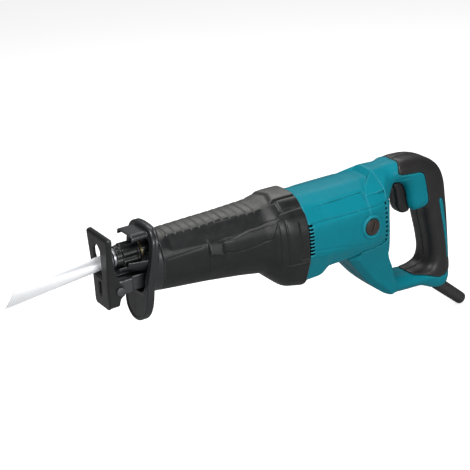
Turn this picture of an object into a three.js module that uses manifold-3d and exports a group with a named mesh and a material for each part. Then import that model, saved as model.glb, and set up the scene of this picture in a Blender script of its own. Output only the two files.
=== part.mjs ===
// Corded reciprocating saw with a scotch-yoke drive, as an assembly of separate pieces.
// Units are millimetres. +X runs from the nose towards the rear handle, +Z is up and the
// operator's left side is -Y. Pieces are drawn with the plunger axis on y = z = 0 and x = 0
// near the nose; the finished group is then shifted so that its origin is on the shoe face.
import * as THREE from 'three';
import { LoftGeometry } from 'three/addons/geometries/LoftGeometry.js';
import { mergeVertices } from 'three/addons/utils/BufferGeometryUtils.js';
import Module from 'manifold-3d';

const wasm = await Module();
wasm.setup();

// ---------------------------------------------------------------- driving dimensions
const radians = (degrees) => degrees * Math.PI / 180;

const STROKE = 30;                 // blade stroke
const CRANK_R = STROKE / 2;        // crank pin radius from the crank axis
const CRANK_X = 132;               // vertical crank axis, station along the tool
const CRANK_REST = radians(117.8); // crank angle at rest, from +X
const CRANK_PIN = [                // crank pin at rest, x and y
  CRANK_X + CRANK_R * Math.cos(CRANK_REST),
  CRANK_R * Math.sin(CRANK_REST),
];
const YOKE_X = CRANK_PIN[0];       // yoke centre at rest
const MOTOR_Z = -29;               // motor axis height
const GEAR_TEETH = 39;             // bevel gear under the crank disc
const PINION_TEETH = 11;           // bevel pinion on the armature shaft
const GEAR_PITCH_R = 22;           // pitch radius of the bevel gear
const ROD_R = 8;                   // plunger rod radius
const BUSH_BORE_R = ROD_R + 0.3;   // bore of the plunger bushes and seal
const SLEEVE_R = 13;               // blade clamp sleeve radius
const NOSE_BORE_R = 14.3;          // room around the clamp sleeve
const COVER_WALL = 2.6;            // moulded grip cover over the gear housing
const HOUSING_WALL = 3.4;          // cast gear housing wall
const SHELL_WALL = 3;              // moulded motor housing and handle wall
const GAP = 0.4;                   // running or assembly gap between neighbouring pieces
const HOUSING_INSET = COVER_WALL + GAP;              // cover outside to casting outside
const CAVITY_INSET = HOUSING_INSET + HOUSING_WALL;   // cover outside to casting inside
const JOINT_X = 178;               // joint plane between gear housing and motor housing
const HANDLE_X = 284.3;            // joint plane between motor housing and handle
const BRUSH_X = 260;               // brush axis station
const CAP_Z = MOTOR_Z - 1;         // brush cap axis height
const STATOR_R = 38;               // stator outer radius
const ARMATURE_R = 22.6;           // armature core radius
const ARMATURE_SLOTS = 12;         // also the number of commutator bars
const FAN_R = 36;                  // cooling fan radius
const FAN_BLADES = 12;
const BLADE_W = 16.3;              // blade width
const BLADE_T = 1.2;               // blade thickness
const BLADE_SLOPE = Math.tan(radians(6.25));   // blade droop towards its tip
const CLAMP_PIN_X = -20;           // clamp pin station, through the blade tang
const BAR_W = 18;                  // shoe bar width
const BAR_Z0 = -37;                // shoe bar underside
const BAR_Z1 = -26;                // shoe bar top
const BAR_MID_Z = (BAR_Z0 + BAR_Z1) / 2;
const PIVOT = [-36.5, -30.7];      // shoe pivot, x and z
const BUTTON_X = 19.5;             // shoe lock button station
const SHOE_FACE_X = -50;           // working face of the shoe
const ORIGIN_Z = -44.5;            // height of the object's origin on that face

// screws between gear housing and motor housing, y and z
const HOUSING_SCREWS = [[29.5, 2.5], [-29.5, 2.5], [27.5, -61], [-27.5, -61]];
// screws across the handle, x and z
const HANDLE_SCREWS = [[304, 8], [361, 5.5], [364, -128], [322, -128], [290, -105]];

// ---------------------------------------------------------------- materials
const TEAL = { color: 0x1e8c9c, roughness: 0.42 };
const BLACK = { color: 0x2b2d2f, roughness: 0.6 };
const GREY = { color: 0x3a3c3f, roughness: 0.55 };
const RUBBER = { color: 0x1d1e1f, roughness: 0.8 };
const CARBON = { color: 0x232323, roughness: 0.8 };
const FAN_PLASTIC = { color: 0x33363a, roughness: 0.5 };
const CAP_PLASTIC = { color: 0x2a2624, roughness: 0.55 };
const SWITCH_PLASTIC = { color: 0x2c2c2e, roughness: 0.5 };
const STEEL = { color: 0xb9bec3, roughness: 0.32, metalness: 0.95 };
const DARK_STEEL = { color: 0x585c60, roughness: 0.4, metalness: 0.9 };
const BLADE_STEEL = { color: 0xd9dee2, roughness: 0.3, metalness: 0.85 };
const BEARING_STEEL = { color: 0xc4c7ca, roughness: 0.25, metalness: 0.95 };
const ALUMINIUM = { color: 0xa8abae, roughness: 0.48, metalness: 0.9 };
const BRASS = { color: 0xb08a3e, roughness: 0.35, metalness: 0.9 };
const COPPER = { color: 0xa85f32, roughness: 0.4, metalness: 0.8 };

// ---------------------------------------------------------------- solids
const saw = new THREE.Group();

// turns a closed geometry, of either winding, into a solid that can be cut and joined
function solid(geometry) {
  let merged = new THREE.BufferGeometry();
  merged.setAttribute('position', geometry.attributes.position.clone());
  if (geometry.index) merged.setIndex(geometry.index.clone());
  merged = mergeVertices(merged, 1e-4);
  const { position } = merged.attributes;
  const source = merged.index.array;
  const corner = (index) => new THREE.Vector3().fromBufferAttribute(position, index);
  const triangles = [];
  let volume = 0;
  for (let i = 0; i < source.length; i += 3) {
    const [first, second, third] = source.slice(i, i + 3);
    if (first === second || second === third || first === third) continue;
    triangles.push(first, second, third);
    volume += corner(first).dot(corner(second).cross(corner(third)));
  }
  if (volume < 0) {
    for (let i = 0; i < triangles.length; i += 3) {
      [triangles[i + 1], triangles[i + 2]] = [triangles[i + 2], triangles[i + 1]];
    }
  }
  return new wasm.Manifold(new wasm.Mesh({
    numProp: 3,
    vertProperties: new Float32Array(position.array),
    triVerts: new Uint32Array(triangles),
  }));
}

function geometryOf(shape) {
  const mesh = shape.getMesh();
  const geometry = new THREE.BufferGeometry();
  geometry.setAttribute('position', new THREE.Float32BufferAttribute(mesh.vertProperties, 3));
  geometry.setIndex(new THREE.Uint32BufferAttribute(mesh.triVerts, 1));
  geometry.computeVertexNormals();
  return geometry;
}

function place(name, shape, look) {
  const mesh = new THREE.Mesh(geometryOf(shape), new THREE.MeshStandardMaterial(look));
  mesh.name = name;
  saw.add(mesh);
}

const join = (...shapes) => shapes.reduce((whole, shape) => whole.add(shape));
const cut = (body, ...tools) => tools.reduce((rest, tool) => rest.subtract(tool), body);
const transformed = (shape, matrix) => solid(geometryOf(shape).applyMatrix4(matrix));

// evenly spaced copies around the motor axis, the first one turned by startDegrees
function aroundMotor(count, shape, startDegrees = 0) {
  return Array.from({ length: count }, (_, i) => {
    const geometry = geometryOf(shape);
    geometry.translate(0, 0, -MOTOR_Z);
    geometry.rotateX(radians(360 / count * i + startDegrees));
    geometry.translate(0, 0, MOTOR_Z);
    return solid(geometry);
  });
}

function box(x0, x1, y0, y1, z0, z1) {
  const geometry = new THREE.BoxGeometry(x1 - x0, y1 - y0, z1 - z0);
  geometry.translate((x0 + x1) / 2, (y0 + y1) / 2, (z0 + z1) / 2);
  return solid(geometry);
}

// lays a geometry's Y axis along the given axis; "first" and "second" are the other two
// coordinates of its centre line, in x, y, z order
function laidAlong(axis, geometry, first, second, station = 0) {
  if (axis === 'x') geometry.rotateZ(-Math.PI / 2).translate(station, first, second);
  if (axis === 'y') geometry.translate(first, station, second);
  if (axis === 'z') geometry.rotateX(Math.PI / 2).translate(first, second, station);
  return solid(geometry);
}

function cylinder(axis, radius, from, to, first = 0, second = 0, segments = 18) {
  const geometry = new THREE.CylinderGeometry(radius, radius, to - from, segments);
  return laidAlong(axis, geometry, first, second, (from + to) / 2);
}

// solid of revolution from a profile of [radius, station] pairs
function turned(axis, profile, first = 0, second = 0, segments = 18) {
  const points = profile.map(([radius, station]) => new THREE.Vector2(radius, station));
  if (profile[0][0] > 1e-6) points.push(points[0].clone());
  return laidAlong(axis, new THREE.LatheGeometry(points, segments), first, second);
}

// profile of a ring, with its two outer edges chamfered if asked
function ringProfile(inner, outer, from, to, chamfer = 0) {
  if (chamfer === 0) return [[inner, from], [outer, from], [outer, to], [inner, to]];
  return [
    [inner, from], [outer - chamfer, from], [outer, from + chamfer],
    [outer, to - chamfer], [outer - chamfer, to], [inner, to],
  ];
}

// flat outline with holes, extruded from 0 to depth, optionally bevelled within its size
function extruded(outline, depth, holes, bevel) {
  const wound = (points, clockwise) => {
    const vectors = points.map((point) => new THREE.Vector2(...point));
    return THREE.ShapeUtils.isClockWise(vectors) === clockwise ? vectors : vectors.reverse();
  };
  const shape = new THREE.Shape(wound(outline, false));
  for (const hole of holes) shape.holes.push(new THREE.Path(wound(hole, true)));
  const geometry = new THREE.ExtrudeGeometry(shape, {
    depth: depth - 2 * bevel,
    bevelEnabled: bevel > 0,
    bevelSize: bevel,
    bevelThickness: bevel,
    bevelOffset: -bevel,
    bevelSegments: 2,
  });
  return geometry.translate(0, 0, bevel);
}

// plate with an [x, z] outline, from y0 to y1
function plateXZ(outline, y0, y1, holes = [], bevel = 0) {
  const geometry = extruded(outline, y1 - y0, holes, bevel);
  return solid(geometry.rotateX(Math.PI / 2).translate(0, y1, 0));
}

// plate with a [y, z] outline, from x0 to x1
function plateYZ(outline, x0, x1, holes = [], bevel = 0) {
  const geometry = extruded(outline, x1 - x0, holes, bevel);
  const upright = new THREE.Matrix4().set(0, 0, 1, x0, 1, 0, 0, 0, 0, 1, 0, 0, 0, 0, 0, 1);
  return solid(geometry.applyMatrix4(upright));
}

function circle(radius, count) {
  return Array.from({ length: count }, (_, i) => {
    const angle = 2 * Math.PI * i / count;
    return [radius * Math.cos(angle), radius * Math.sin(angle)];
  });
}

// annular sector around the motor axis, angles in degrees from +Y towards +Z
function sector(inner, outer, startAngle, endAngle, x0, x1) {
  const steps = Math.max(3, Math.ceil((endAngle - startAngle) / 18));
  const arc = (radius) => Array.from({ length: steps + 1 }, (_, i) => {
    const angle = radians(startAngle + (endAngle - startAngle) * i / steps);
    return [radius * Math.cos(angle), MOTOR_Z + radius * Math.sin(angle)];
  });
  return plateYZ([...arc(outer), ...arc(inner).reverse()], x0, x1);
}

// closed outline moved inwards by distance, or outwards if it is negative
function inset(outline, distance) {
  const count = outline.length;
  let area = 0;
  outline.forEach(([x, z], i) => {
    const [nextX, nextZ] = outline[(i + 1) % count];
    area += x * nextZ - nextX * z;
  });
  const turn = area > 0 ? 1 : -1;
  const direction = (from, to) => {
    const step = [to[0] - from[0], to[1] - from[1]];
    const length = Math.hypot(...step);
    return step.map((part) => part / length);
  };
  return outline.map((point, i) => {
    const arriving = direction(outline[(i + count - 1) % count], point);
    const leaving = direction(point, outline[(i + 1) % count]);
    let normalX = -(arriving[1] + leaving[1]) * turn;
    let normalZ = (arriving[0] + leaving[0]) * turn;
    const length = Math.hypot(normalX, normalZ);
    normalX /= length;
    normalZ /= length;
    // the mitre grows with the corner angle, up to twice the distance
    const mitre = Math.max(0.5, normalX * -leaving[1] * turn + normalZ * leaving[0] * turn);
    return [point[0] + normalX * distance / mitre, point[1] + normalZ * distance / mitre];
  });
}

// sine or cosine turned into a superellipse coordinate
const squared = (value, squareness) => Math.sign(value) * Math.abs(value) ** (2 / squareness);

// closed superellipse at one station
function section(x, top, bottom, halfWidth, squareness, count) {
  const middle = (top + bottom) / 2;
  const halfHeight = (top - bottom) / 2;
  return Array.from({ length: count }, (_, i) => {
    const angle = 2 * Math.PI * (i + 0.5) / count;
    return new THREE.Vector3(
      x,
      halfWidth * squared(Math.cos(angle), squareness),
      middle + halfHeight * squared(Math.sin(angle), squareness));
  });
}

// row of a station table at x, held constant beyond both ends
function rowAt(table, x) {
  if (x <= table[0][0]) return table[0].slice(1);
  for (let i = 1; i < table.length; i++) {
    const [start, ...before] = table[i - 1];
    const [end, ...after] = table[i];
    if (x <= end) {
      const share = (x - start) / (end - start);
      return after.map((value, j) => before[j] * (1 - share) + value * share);
    }
  }
  return table[table.length - 1].slice(1);
}

const skinned = (rings) => solid(new LoftGeometry(rings, { capStart: true, capEnd: true }));

// body through a station table, shrunk all round by depth
function loft(table, x0, x1, depth = 0, count = 20) {
  const inner = table.map(([x]) => x).filter((x) => x > x0 + 0.5 && x < x1 - 0.5);
  return skinned([x0, ...inner, x1].map((x) => {
    const [top, bottom, halfWidth, squareness] = rowAt(table, x);
    return section(x, top - depth, bottom + depth, halfWidth - depth, squareness, count);
  }));
}

// span across Y on one side (-1 left, 1 right), from two distances off the middle plane
const sideSpan = (side, near, far) => (side < 0 ? [-far, -near] : [near, far]);

// one cylinder along X on each housing screw
const onHousingScrews = (radius, from, to, segments) => HOUSING_SCREWS.map(
  ([y, z]) => cylinder('x', radius, from, to, y, z, segments));

// ---------------------------------------------------------------- outline tables
// gear end of the body: station, top, bottom, half width, squareness
const COVER = [
  [7, 16, -46, 27.5, 2.3],
  [64, 16, -50.5, 31, 2.4],
  [104, 16.2, -53.5, 34.5, 2.5],
  [132, 16.8, -57.5, 36.5, 2.6],
  [144, 20, -69, 42, 2.6],
  [158, 21, -81, 45, 2.6],
  [JOINT_X, 20.5, -85.5, 47, 2.6],
];
// motor housing: station, top, bottom, half width, squareness
const MOTOR = [
  [JOINT_X, 17.5, -83.5, 46.5, 2.6],
  [200, 16.5, -82.5, 46.5, 2.6],
  [209, 16.5, -74, 46.5, 2.6],
  [250, 16.5, -73, 46.5, 2.6],
  [268, 16.8, -74, 45.5, 2.6],
  [HANDLE_X, 17.5, -76, 41.5, 2.6],
];
// handle in side view: x, z
const HANDLE = [
  [HANDLE_X + 0.1, 15.5], [293, 19.2], [303, 21.4], [318, 22.4], [334, 22.2], [347, 20.4],
  [359, 16.6], [369, 10.6], [378, 1], [384, -13], [385.5, -35], [389, -59], [392, -92],
  [393.5, -120], [392.5, -137], [388, -145], [380, -148.5], [371, -148], [361, -143.5],
  [351, -138.5], [340, -137], [320, -137], [308, -136], [298, -132.5], [287, -124],
  [272, -110], [257, -92], [245, -77], [240, -70], [250, -60], [268, -56],
  [HANDLE_X + 0.1, -54],
];
// hand opening in side view: x, z
const OPENING = [
  [295, -6], [304, -2], [320, -2.5], [328, -7], [332.5, -17], [335.5, -34], [340, -41],
  [355, -43], [359.5, -60], [365.5, -88], [367, -104], [364, -114], [356, -118.5],
  [342, -119.5], [320, -118], [311, -111], [301, -94], [295, -82], [291.5, -68],
  [290.5, -58], [291.5, -44], [291.5, -22],
];
// soft grip area in side view: x, z
const GRIP_ZONE = [
  [307, 60], [311, 9], [334, 7], [350, 5], [354, -9], [357, -30], [359, -44], [345, -80],
  [352, -112], [345, -124], [358, -125], [372, -133], [382, -134.5], [388, -130],
  [420, -128], [440, 60],
];
// handle in plan: x, half width
const PLAN = [
  [238, 46], [268, 45.5], [284, 41.5], [292, 36], [301, 29], [312, 24], [326, 22.5],
  [360, 22], [384, 21], [410, 19.5],
];
// handle from the front: z, half width
const CHIN = [
  [30, 48], [-40, 46], [-52, 42.5], [-58, 39.5], [-66, 36], [-76, 33], [-86, 30],
  [-100, 26.5], [-118, 23.5], [-160, 22.5],
];
const LOOP_HALF_W = 22.5;          // half width of the handle loop

// ---------------------------------------------------------------- blade and clamp
const bladeMid = (x) => -3.2 + (x + 57) * BLADE_SLOPE;   // height of the blade's centre line
const CLAMP_PIN_Z = bladeMid(CLAMP_PIN_X);

// straight upper edge, slanted tip, toothed lower edge, shouldered tang
function sawBlade() {
  const half = BLADE_W / 2;
  const tangHalf = 5.6;
  const pitch = 2.8;
  const toothDepth = 1.15;
  const heelStep = 0.9;            // the lower edge behind the teeth is this much higher
  const tangMid = bladeMid(-14.6);
  const outline = [
    [-41, bladeMid(-41) + half], [-141.5, bladeMid(-141.5) + half],
    [-154.3, bladeMid(-154.3) - half],
  ];
  for (let x = -151.8; x < -62; x += pitch) {
    outline.push([x, bladeMid(x) - half + toothDepth]);
    outline.push([x + pitch - 0.55, bladeMid(x + pitch) - half]);
  }
  const lastX = outline[outline.length - 1][0];
  outline.push(
    [lastX + 1.2, bladeMid(lastX) - half + heelStep], [-43, bladeMid(-43) - half + heelStep],
    [-39.5, bladeMid(-38) - tangHalf], [-14.6, tangMid - tangHalf], [-13.2, tangMid - 4],
    [-13.2, tangMid + 4], [-14.6, tangMid + tangHalf], [-39, bladeMid(-39) + tangHalf]);
  const pinHole = circle(2.6, 12).map(([x, z]) => [CLAMP_PIN_X + x, CLAMP_PIN_Z + z]);
  return plateXZ(outline, -BLADE_T / 2, BLADE_T / 2, [pinHole]);
}
place('saw_blade', sawBlade(), BLADE_STEEL);

// quick-release sleeve: lobed outside, two wide grooves inside
function clampSleeve() {
  const lobes = circle(1, 24).map(([y, z], i) => {
    const radius = i % 4 === 2 ? SLEEVE_R - 1.2 : SLEEVE_R;
    return [radius * y, radius * z];
  });
  const frontLip = [[0, -33.4], [10.6, -33.4], [11.4, -32.6], [11.4, -25], [0, -25]];
  const rearLip = [[0, -6], [12.6, -6], [12.9, -5], [12.9, -1], [12.3, -0.4], [0, -0.4]];
  return cut(
    join(plateYZ(lobes, -26.5, -3.2), turned('x', frontLip), turned('x', rearLip)),
    cylinder('x', 8.45, -40, 4),
    turned('x', ringProfile(0, 12, -22.8, -17.2)),
    turned('x', ringProfile(0, 11.4, -15.2, -3)));
}
place('blade_clamp_sleeve', clampSleeve(), BLACK);

// collar slotted for the blade, with an unslotted rim at its rear edge
function frontCollar() {
  const profile = [
    [6.9, -37.2], [9.4, -37.2], [10.8, -36.2], [10.8, -34.2], [10.2, -33.8], [6.9, -33.8],
  ];
  const rim = [[9.6, -34.6], [10.8, -34.6], [10.8, -33.8], [9.6, -33.8]];
  return cut(turned('x', profile), box(-38, -33, -1.1, 1.1, -9.2, 9.2)).add(turned('x', rim));
}
place('clamp_front_collar', frontCollar(), STEEL);
place('clamp_pin', cylinder('y', 2, -9.2, 1, CLAMP_PIN_X, CLAMP_PIN_Z, 14), STEEL);

// coil of wire around the plunger
function clampSpring() {
  const radius = 9.9;
  const wire = 1.2;
  const from = -14.2;
  const to = -4.4;
  const turns = 4.2;
  const stepsPerTurn = 10;
  class Helix extends THREE.Curve {
    getPoint(share, target = new THREE.Vector3()) {
      const angle = 2 * Math.PI * turns * share;
      const x = from + (to - from) * share;
      return target.set(x, radius * Math.cos(angle), radius * Math.sin(angle));
    }
  }
  const wireSection = new THREE.Shape();
  wireSection.absarc(0, 0, wire / 2, 0, 2 * Math.PI, false);
  return solid(new THREE.ExtrudeGeometry(wireSection, {
    steps: Math.round(turns * stepsPerTurn),
    extrudePath: new Helix(),
    curveSegments: 3,
  }));
}
place('clamp_spring', clampSpring(), STEEL);
place('clamp_retaining_ring', turned('x', ringProfile(8.35, 12, 0.2, 2.4, 0.5)), BRASS);

// ---------------------------------------------------------------- plunger with its yoke
function plunger() {
  const bottom = -12.5;
  const yokeFront = YOKE_X - 12;
  const neckEnd = yokeFront + 5;   // rod and neck run this far into the yoke
  const rod = cylinder('x', ROD_R, -33.2, neckEnd);
  const neck = cut(
    cylinder('x', ROD_R + 1.2, yokeFront - 9, neckEnd), box(0, 300, -20, 20, -30, bottom));
  const yoke = box(yokeFront, YOKE_X + 12, -22.8, 22.8, bottom, -3.5).add(neck);
  return cut(
    rod.add(yoke),
    box(YOKE_X - 5.9, YOKE_X + 5.9, -21, 21, -20, 12),               // slot for the roller
    box(-40, -12.6, -0.95, 0.95, -7.2, 7.4),                         // slot for the tang
    cylinder('y', 2.3, -14, 1.6, CLAMP_PIN_X, CLAMP_PIN_Z, 16));
}
place('plunger', plunger(), STEEL);

// ---------------------------------------------------------------- shoe
// front plate that widens upwards, blade slot above, screw slot below, side ears bent back
function shoePlate() {
  const halfWidth = 17.5;
  const earInside = 15;
  const rear = SHOE_FACE_X + 3;    // rear of the front plate
  const flareZ = -21.5;            // the sides lean outwards above this height
  const flare = 0.125;             // sideways lean per height
  const outline = [
    [-halfWidth, -47], [-14, -50], [14, -50], [halfWidth, -47], [halfWidth, flareZ],
    [23.7, 28], [21, 30], [-21, 30], [-23.7, 28], [-halfWidth, flareZ],
  ];
  const bladeSlot = [
    [-6.5, -17.4], [6.5, -17.4], [6.5, 12.5], [4, 17], [0, 18.4], [-4, 17], [-6.5, 12.5],
  ];
  const screwSlot = circle(2.6, 12).map(([y, z]) => [y, -31.5 + (z > 0 ? 5 : -5) + z]);
  const ear = [
    [-47.5, -49], [-41.5, -49.5], [-38.5, -47], [-38, -43.5], [-35.5, -38.5],
    [-31.8, -36.6], [-31, -30], [-32.6, -25.6], [-37.2, flareZ], [-47.5, flareZ],
  ];
  const flank = [
    [-47.5, flareZ - 0.2], [-37.2, flareZ - 0.2], [-41, -13], [-43, 0], [-44, 14],
    [-44.2, 28], [-47.5, 28.6],
  ];
  const sides = [-1, 1];
  const ears = sides.map((side) => plateXZ(ear, ...sideSpan(side, earInside, halfWidth)));
  const flanks = sides.map((side) => transformed(
    plateXZ(flank, ...sideSpan(side, earInside, halfWidth)),
    new THREE.Matrix4().set(
      1, 0, 0, 0,
      0, 1, side * flare, -side * flare * flareZ,
      0, 0, 1, 0,
      0, 0, 0, 1)));
  const face = plateYZ(outline, SHOE_FACE_X, rear, [bladeSlot, screwSlot]);
  const topLip = box(-47.5, -43.5, -20.6, 20.6, 27, 30);
  return cut(
    join(face, topLip, join(...ears, ...flanks)),
    cylinder('y', 3.4, -20, 20, ...PIVOT, 16));
}
place('shoe_plate', shoePlate(), GREY);

place('shoe_pivot_pin', join(
  cylinder('y', 3, -18, 18, ...PIVOT, 16),
  cylinder('y', 4.6, -19.3, -17.9, ...PIVOT, 16),
  cylinder('y', 4.6, 17.9, 19.3, ...PIVOT, 16)), DARK_STEEL);

// bar that carries the shoe, with a row of notches along its right side
function shoeBar() {
  const half = BAR_W / 2;
  const head = [
    [-24, BAR_Z0], [-33, BAR_Z0], [-39.5, -35], [-42, -31], [-40, -25.5], [-34, -21.8],
    [-24, -21.4], [-20, BAR_Z1], [-20, BAR_Z0],
  ];
  const notches = [17, 27, 37, 47].map(
    (x) => box(x, x + 5, half - 2.4, half + 1, BAR_Z0 - 1, BAR_Z1 + 1));
  return cut(
    join(box(-24, 66, -half, half, BAR_Z0, BAR_Z1), plateXZ(head, -14.6, 14.6)),
    cylinder('y', 3.3, -20, 20, ...PIVOT, 16),
    ...notches);
}
place('shoe_bar', shoeBar(), DARK_STEEL);

// side button beside the shoe bar: inner tab, flange, and a round head outside the cover
place('shoe_lock_button', join(
  box(18, 21, BAR_W / 2 + 0.3, 15, BAR_MID_Z - 3, BAR_MID_Z + 3),
  box(15, 24, 13.4, 17, BAR_MID_Z - 5, BAR_MID_Z + 5),
  cylinder('y', 4.6, 16.5, 31.6, BUTTON_X, BAR_MID_Z, 20)), GREY);

// ---------------------------------------------------------------- nose guard
// half outlines: y, z
const GUARD_OUTER = [
  [15, 27], [22, 24], [27, 16], [28.6, 5], [28, -6], [25.6, -20], [23.4, -33],
  [23.6, -46], [23, -56], [20, -65], [14, -71], [6, -74.5],
];
const GUARD_INNER = [
  [11, 21], [17, 18.5], [21, 12], [22.4, 3], [22, -6], [20, -17], [17.6, -27],
  [17.2, -36], [14, -41], [5, -43],
];
// strip above the plunger: y, z
const GUARD_HOOD = [
  [13.5, 17.5], [9, 19.6], [0, 20.6], [-9, 19.6], [-13.5, 17.5],
  [-14.2, 19.6], [-9.6, 22], [0, 23.2], [9.6, 22], [14.2, 19.6],
];
const mirrored = (points) => [...points, ...points.slice().reverse().map(([y, z]) => [-y, z])];

function noseGuard() {
  // lean the plate so that its foot stands further forward
  const lean = new THREE.Matrix4().set(1, 0, 0.15, 0, 0, 1, 0, 0, 0, 0, 1, 0, 0, 0, 0, 1);
  const plate = plateYZ(mirrored(GUARD_OUTER), -4, 5, [mirrored(GUARD_INNER)], 1.6);
  // collar that closes the gap back to the grip cover
  const collar = cut(
    loft(COVER, -14, 10.1, 0.2),
    loft(COVER, -15, 11, 3.1),
    cylinder('x', NOSE_BORE_R, -20, 20, 0, 0, 20),
  ).intersect(transformed(box(2, 60, -60, 60, -100, 60), lean));
  return join(transformed(plate, lean), collar, plateYZ(GUARD_HOOD, -17, 4));
}
place('nose_guard', noseGuard(), BLACK);

// ---------------------------------------------------------------- front grip cover
place('front_grip_cover', cut(
  loft(COVER, 10.5, 177.2),
  loft(COVER, 10, 178, COVER_WALL),
  cylinder('y', 5.3, 14, 40, BUTTON_X, BAR_MID_Z, 16),
  cylinder('x', NOSE_BORE_R, 0, 25.4, 0, 0, 20)), BLACK);

// ---------------------------------------------------------------- gear housing (casting)
const SEAT_R = 12.3;               // seats of the bushes and the larger bearings
const HOUSING_END = 177.6;

function gearHousing() {
  const frontCavity = cut(loft(COVER, 24, 96, CAVITY_INSET), cylinder('x', 15.2, 0, 100));
  let housing = cut(
    loft(COVER, 10.6, HOUSING_END, HOUSING_INSET),
    frontCavity,
    loft(COVER, 100, 180, CAVITY_INSET));
  // gear shaft tower, trimmed where it would stand out of the casting
  const outside = loft(COVER, 96, 170, -40)
    .subtract(loft(COVER, 96.5, 169.5, HOUSING_INSET + 0.2));
  housing = housing.add(cut(cylinder('z', 14.6, -54, -33, CRANK_X, 0), outside));
  const bossLimit = loft(COVER, 150, HOUSING_END, HOUSING_INSET + 0.3);
  for (const boss of onHousingScrews(5.4, 160, HOUSING_END, 12)) {
    housing = housing.add(boss.intersect(bossLimit));
  }
  const barHalf = BAR_W / 2 + GAP;
  housing = cut(housing,
    cylinder('x', NOSE_BORE_R, 0, 25.4, 0, 0, 20),        // room for the clamp sleeve
    cylinder('x', SEAT_R, 20, 49.4),                      // front bush and seal
    cylinder('x', ROD_R + 0.9, 40, 110),                  // rod passage
    cylinder('x', SEAT_R, 78, 101),                       // rear bush
    cylinder('z', 10.3, -50.3, -41, CRANK_X, 0),          // lower gear bearing
    cylinder('z', SEAT_R, -41.3, -30, CRANK_X, 0),        // upper gear bearing
    box(0, 98, -barHalf, barHalf, BAR_Z0 - GAP, BAR_Z1 + GAP),
    // lock button: pocket, round recess and way out
    box(14.6, 24.4, 0, 17.8, BAR_MID_Z - 5.4, BAR_MID_Z + 5.4),
    cylinder('y', 7.4, 17.3, 22.9, BUTTON_X, BAR_MID_Z, 20),
    cylinder('y', 5, 16, 60, BUTTON_X, BAR_MID_Z, 20));
  return cut(housing,
    ...onHousingScrews(2.3, 150, 180, 8),
    ...onHousingScrews(4.4, 150, 160, 12));
}
place('gear_housing', gearHousing(), ALUMINIUM);

place('front_bush', turned('x', ringProfile(BUSH_BORE_R, 12, 26, 42, 0.5)), BRASS);
place('plunger_seal', turned('x', [
  [BUSH_BORE_R, 43], [11.9, 43], [11.9, 49], [10.6, 49], [10.6, 45], [9.4, 45],
  [8.9, 48.6], [BUSH_BORE_R, 48.6],
]), RUBBER);
place('rear_bush', turned('x', ringProfile(BUSH_BORE_R, 12, 79, 95, 0.5)), BRASS);

const screwShanks = onHousingScrews(1.9, 158, 193.5, 8);
const screwHeads = onHousingScrews(3.9, 156.6, 159.6, 10);
screwShanks.forEach((shank, i) => {
  place(`gear_housing_screw_${i + 1}`, join(shank, screwHeads[i]), STEEL);
});

// ---------------------------------------------------------------- bevel teeth
// the pitch cones meet on the crank axis at the motor axis height
const PINION_CONE = Math.atan(PINION_TEETH / GEAR_TEETH);   // half angle of the pinion
const GEAR_CONE = Math.PI / 2 - PINION_CONE;                // half angle of the gear
const CONE_DISTANCE = GEAR_PITCH_R / Math.cos(PINION_CONE);
const ADDENDUM = 0.75;
const DEDENDUM = 1.15;
const TOOTH_W = 1.28;              // tooth thickness on the pitch cone
const TOOTH_ROOT = DEDENDUM + 0.5; // teeth reach this far into the blank

// [radius, height] on a pitch cone around Z at a share of the cone distance, moved off it
function conePoint(halfAngle, share, offset) {
  const normal = halfAngle + Math.PI / 2;
  return [
    CONE_DISTANCE * share * Math.sin(halfAngle) + offset * Math.sin(normal),
    CONE_DISTANCE * share * Math.cos(halfAngle) + offset * Math.cos(normal),
  ];
}

// straight tooth that shrinks towards the apex, from the face start to the full distance
function bevelTooth(halfAngle, faceStart) {
  const flankSlope = Math.tan(radians(20));
  const rootHalf = TOOTH_W / 2 + TOOTH_ROOT * flankSlope;
  const tipHalf = Math.max(0.22, TOOTH_W / 2 - ADDENDUM * flankSlope);
  const corners = [
    [-TOOTH_ROOT, rootHalf], [-TOOTH_ROOT, -rootHalf], [ADDENDUM, -tipHalf], [ADDENDUM, tipHalf],
  ];
  return skinned([faceStart, 1].map((share) => corners.map(([offset, y]) => {
    const [radius, height] = conePoint(halfAngle, share, offset * share);
    return new THREE.Vector3(radius, y * share, height);
  })));
}

function toothedWheel(profile, segments, halfAngle, faceStart, teeth) {
  const tooth = bevelTooth(halfAngle, faceStart);
  let wheel = turned('z', profile, 0, 0, segments);
  for (let i = 0; i < teeth; i++) {
    const spin = new THREE.Matrix4().makeRotationZ(2 * Math.PI * i / teeth);
    wheel = wheel.add(transformed(tooth, spin));
  }
  return wheel;
}

// ---------------------------------------------------------------- crank and bevel gear
// crank disc with teeth on the underside and a hole for the crank pin
function crankGear() {
  const faceStart = 0.66;
  const boreR = 6.35;
  const top = 12;                  // above the motor axis
  const [rimR, rimZ] = conePoint(GEAR_CONE, 1, -DEDENDUM);
  const [innerR, innerZ] = conePoint(GEAR_CONE, faceStart, -DEDENDUM * faceStart);
  const profile = [
    [boreR, top], [rimR + 0.2, top], [rimR + 0.2, rimZ], [innerR, innerZ],
    [innerR - 2, innerZ + 1.2], [10.5, innerZ + 1.2], [9.5, 2.2], [boreR, 2.2],
  ];
  const wheel = transformed(
    toothedWheel(profile, 26, GEAR_CONE, faceStart, GEAR_TEETH),
    new THREE.Matrix4().makeTranslation(CRANK_X, 0, MOTOR_Z));
  return cut(wheel, cylinder('z', 3.8, -22.4, -10, ...CRANK_PIN, 16));
}
place('crank_gear', crankGear(), DARK_STEEL);
place('gear_shaft', join(
  cylinder('z', 6, -40.6, -17.2, CRANK_X, 0, 20),
  cylinder('z', 4.9, -50, -40, CRANK_X, 0, 20)), STEEL);
place('crank_pin', cylinder('z', 3.5, -22.1, -13.3, ...CRANK_PIN, 16), STEEL);
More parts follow.
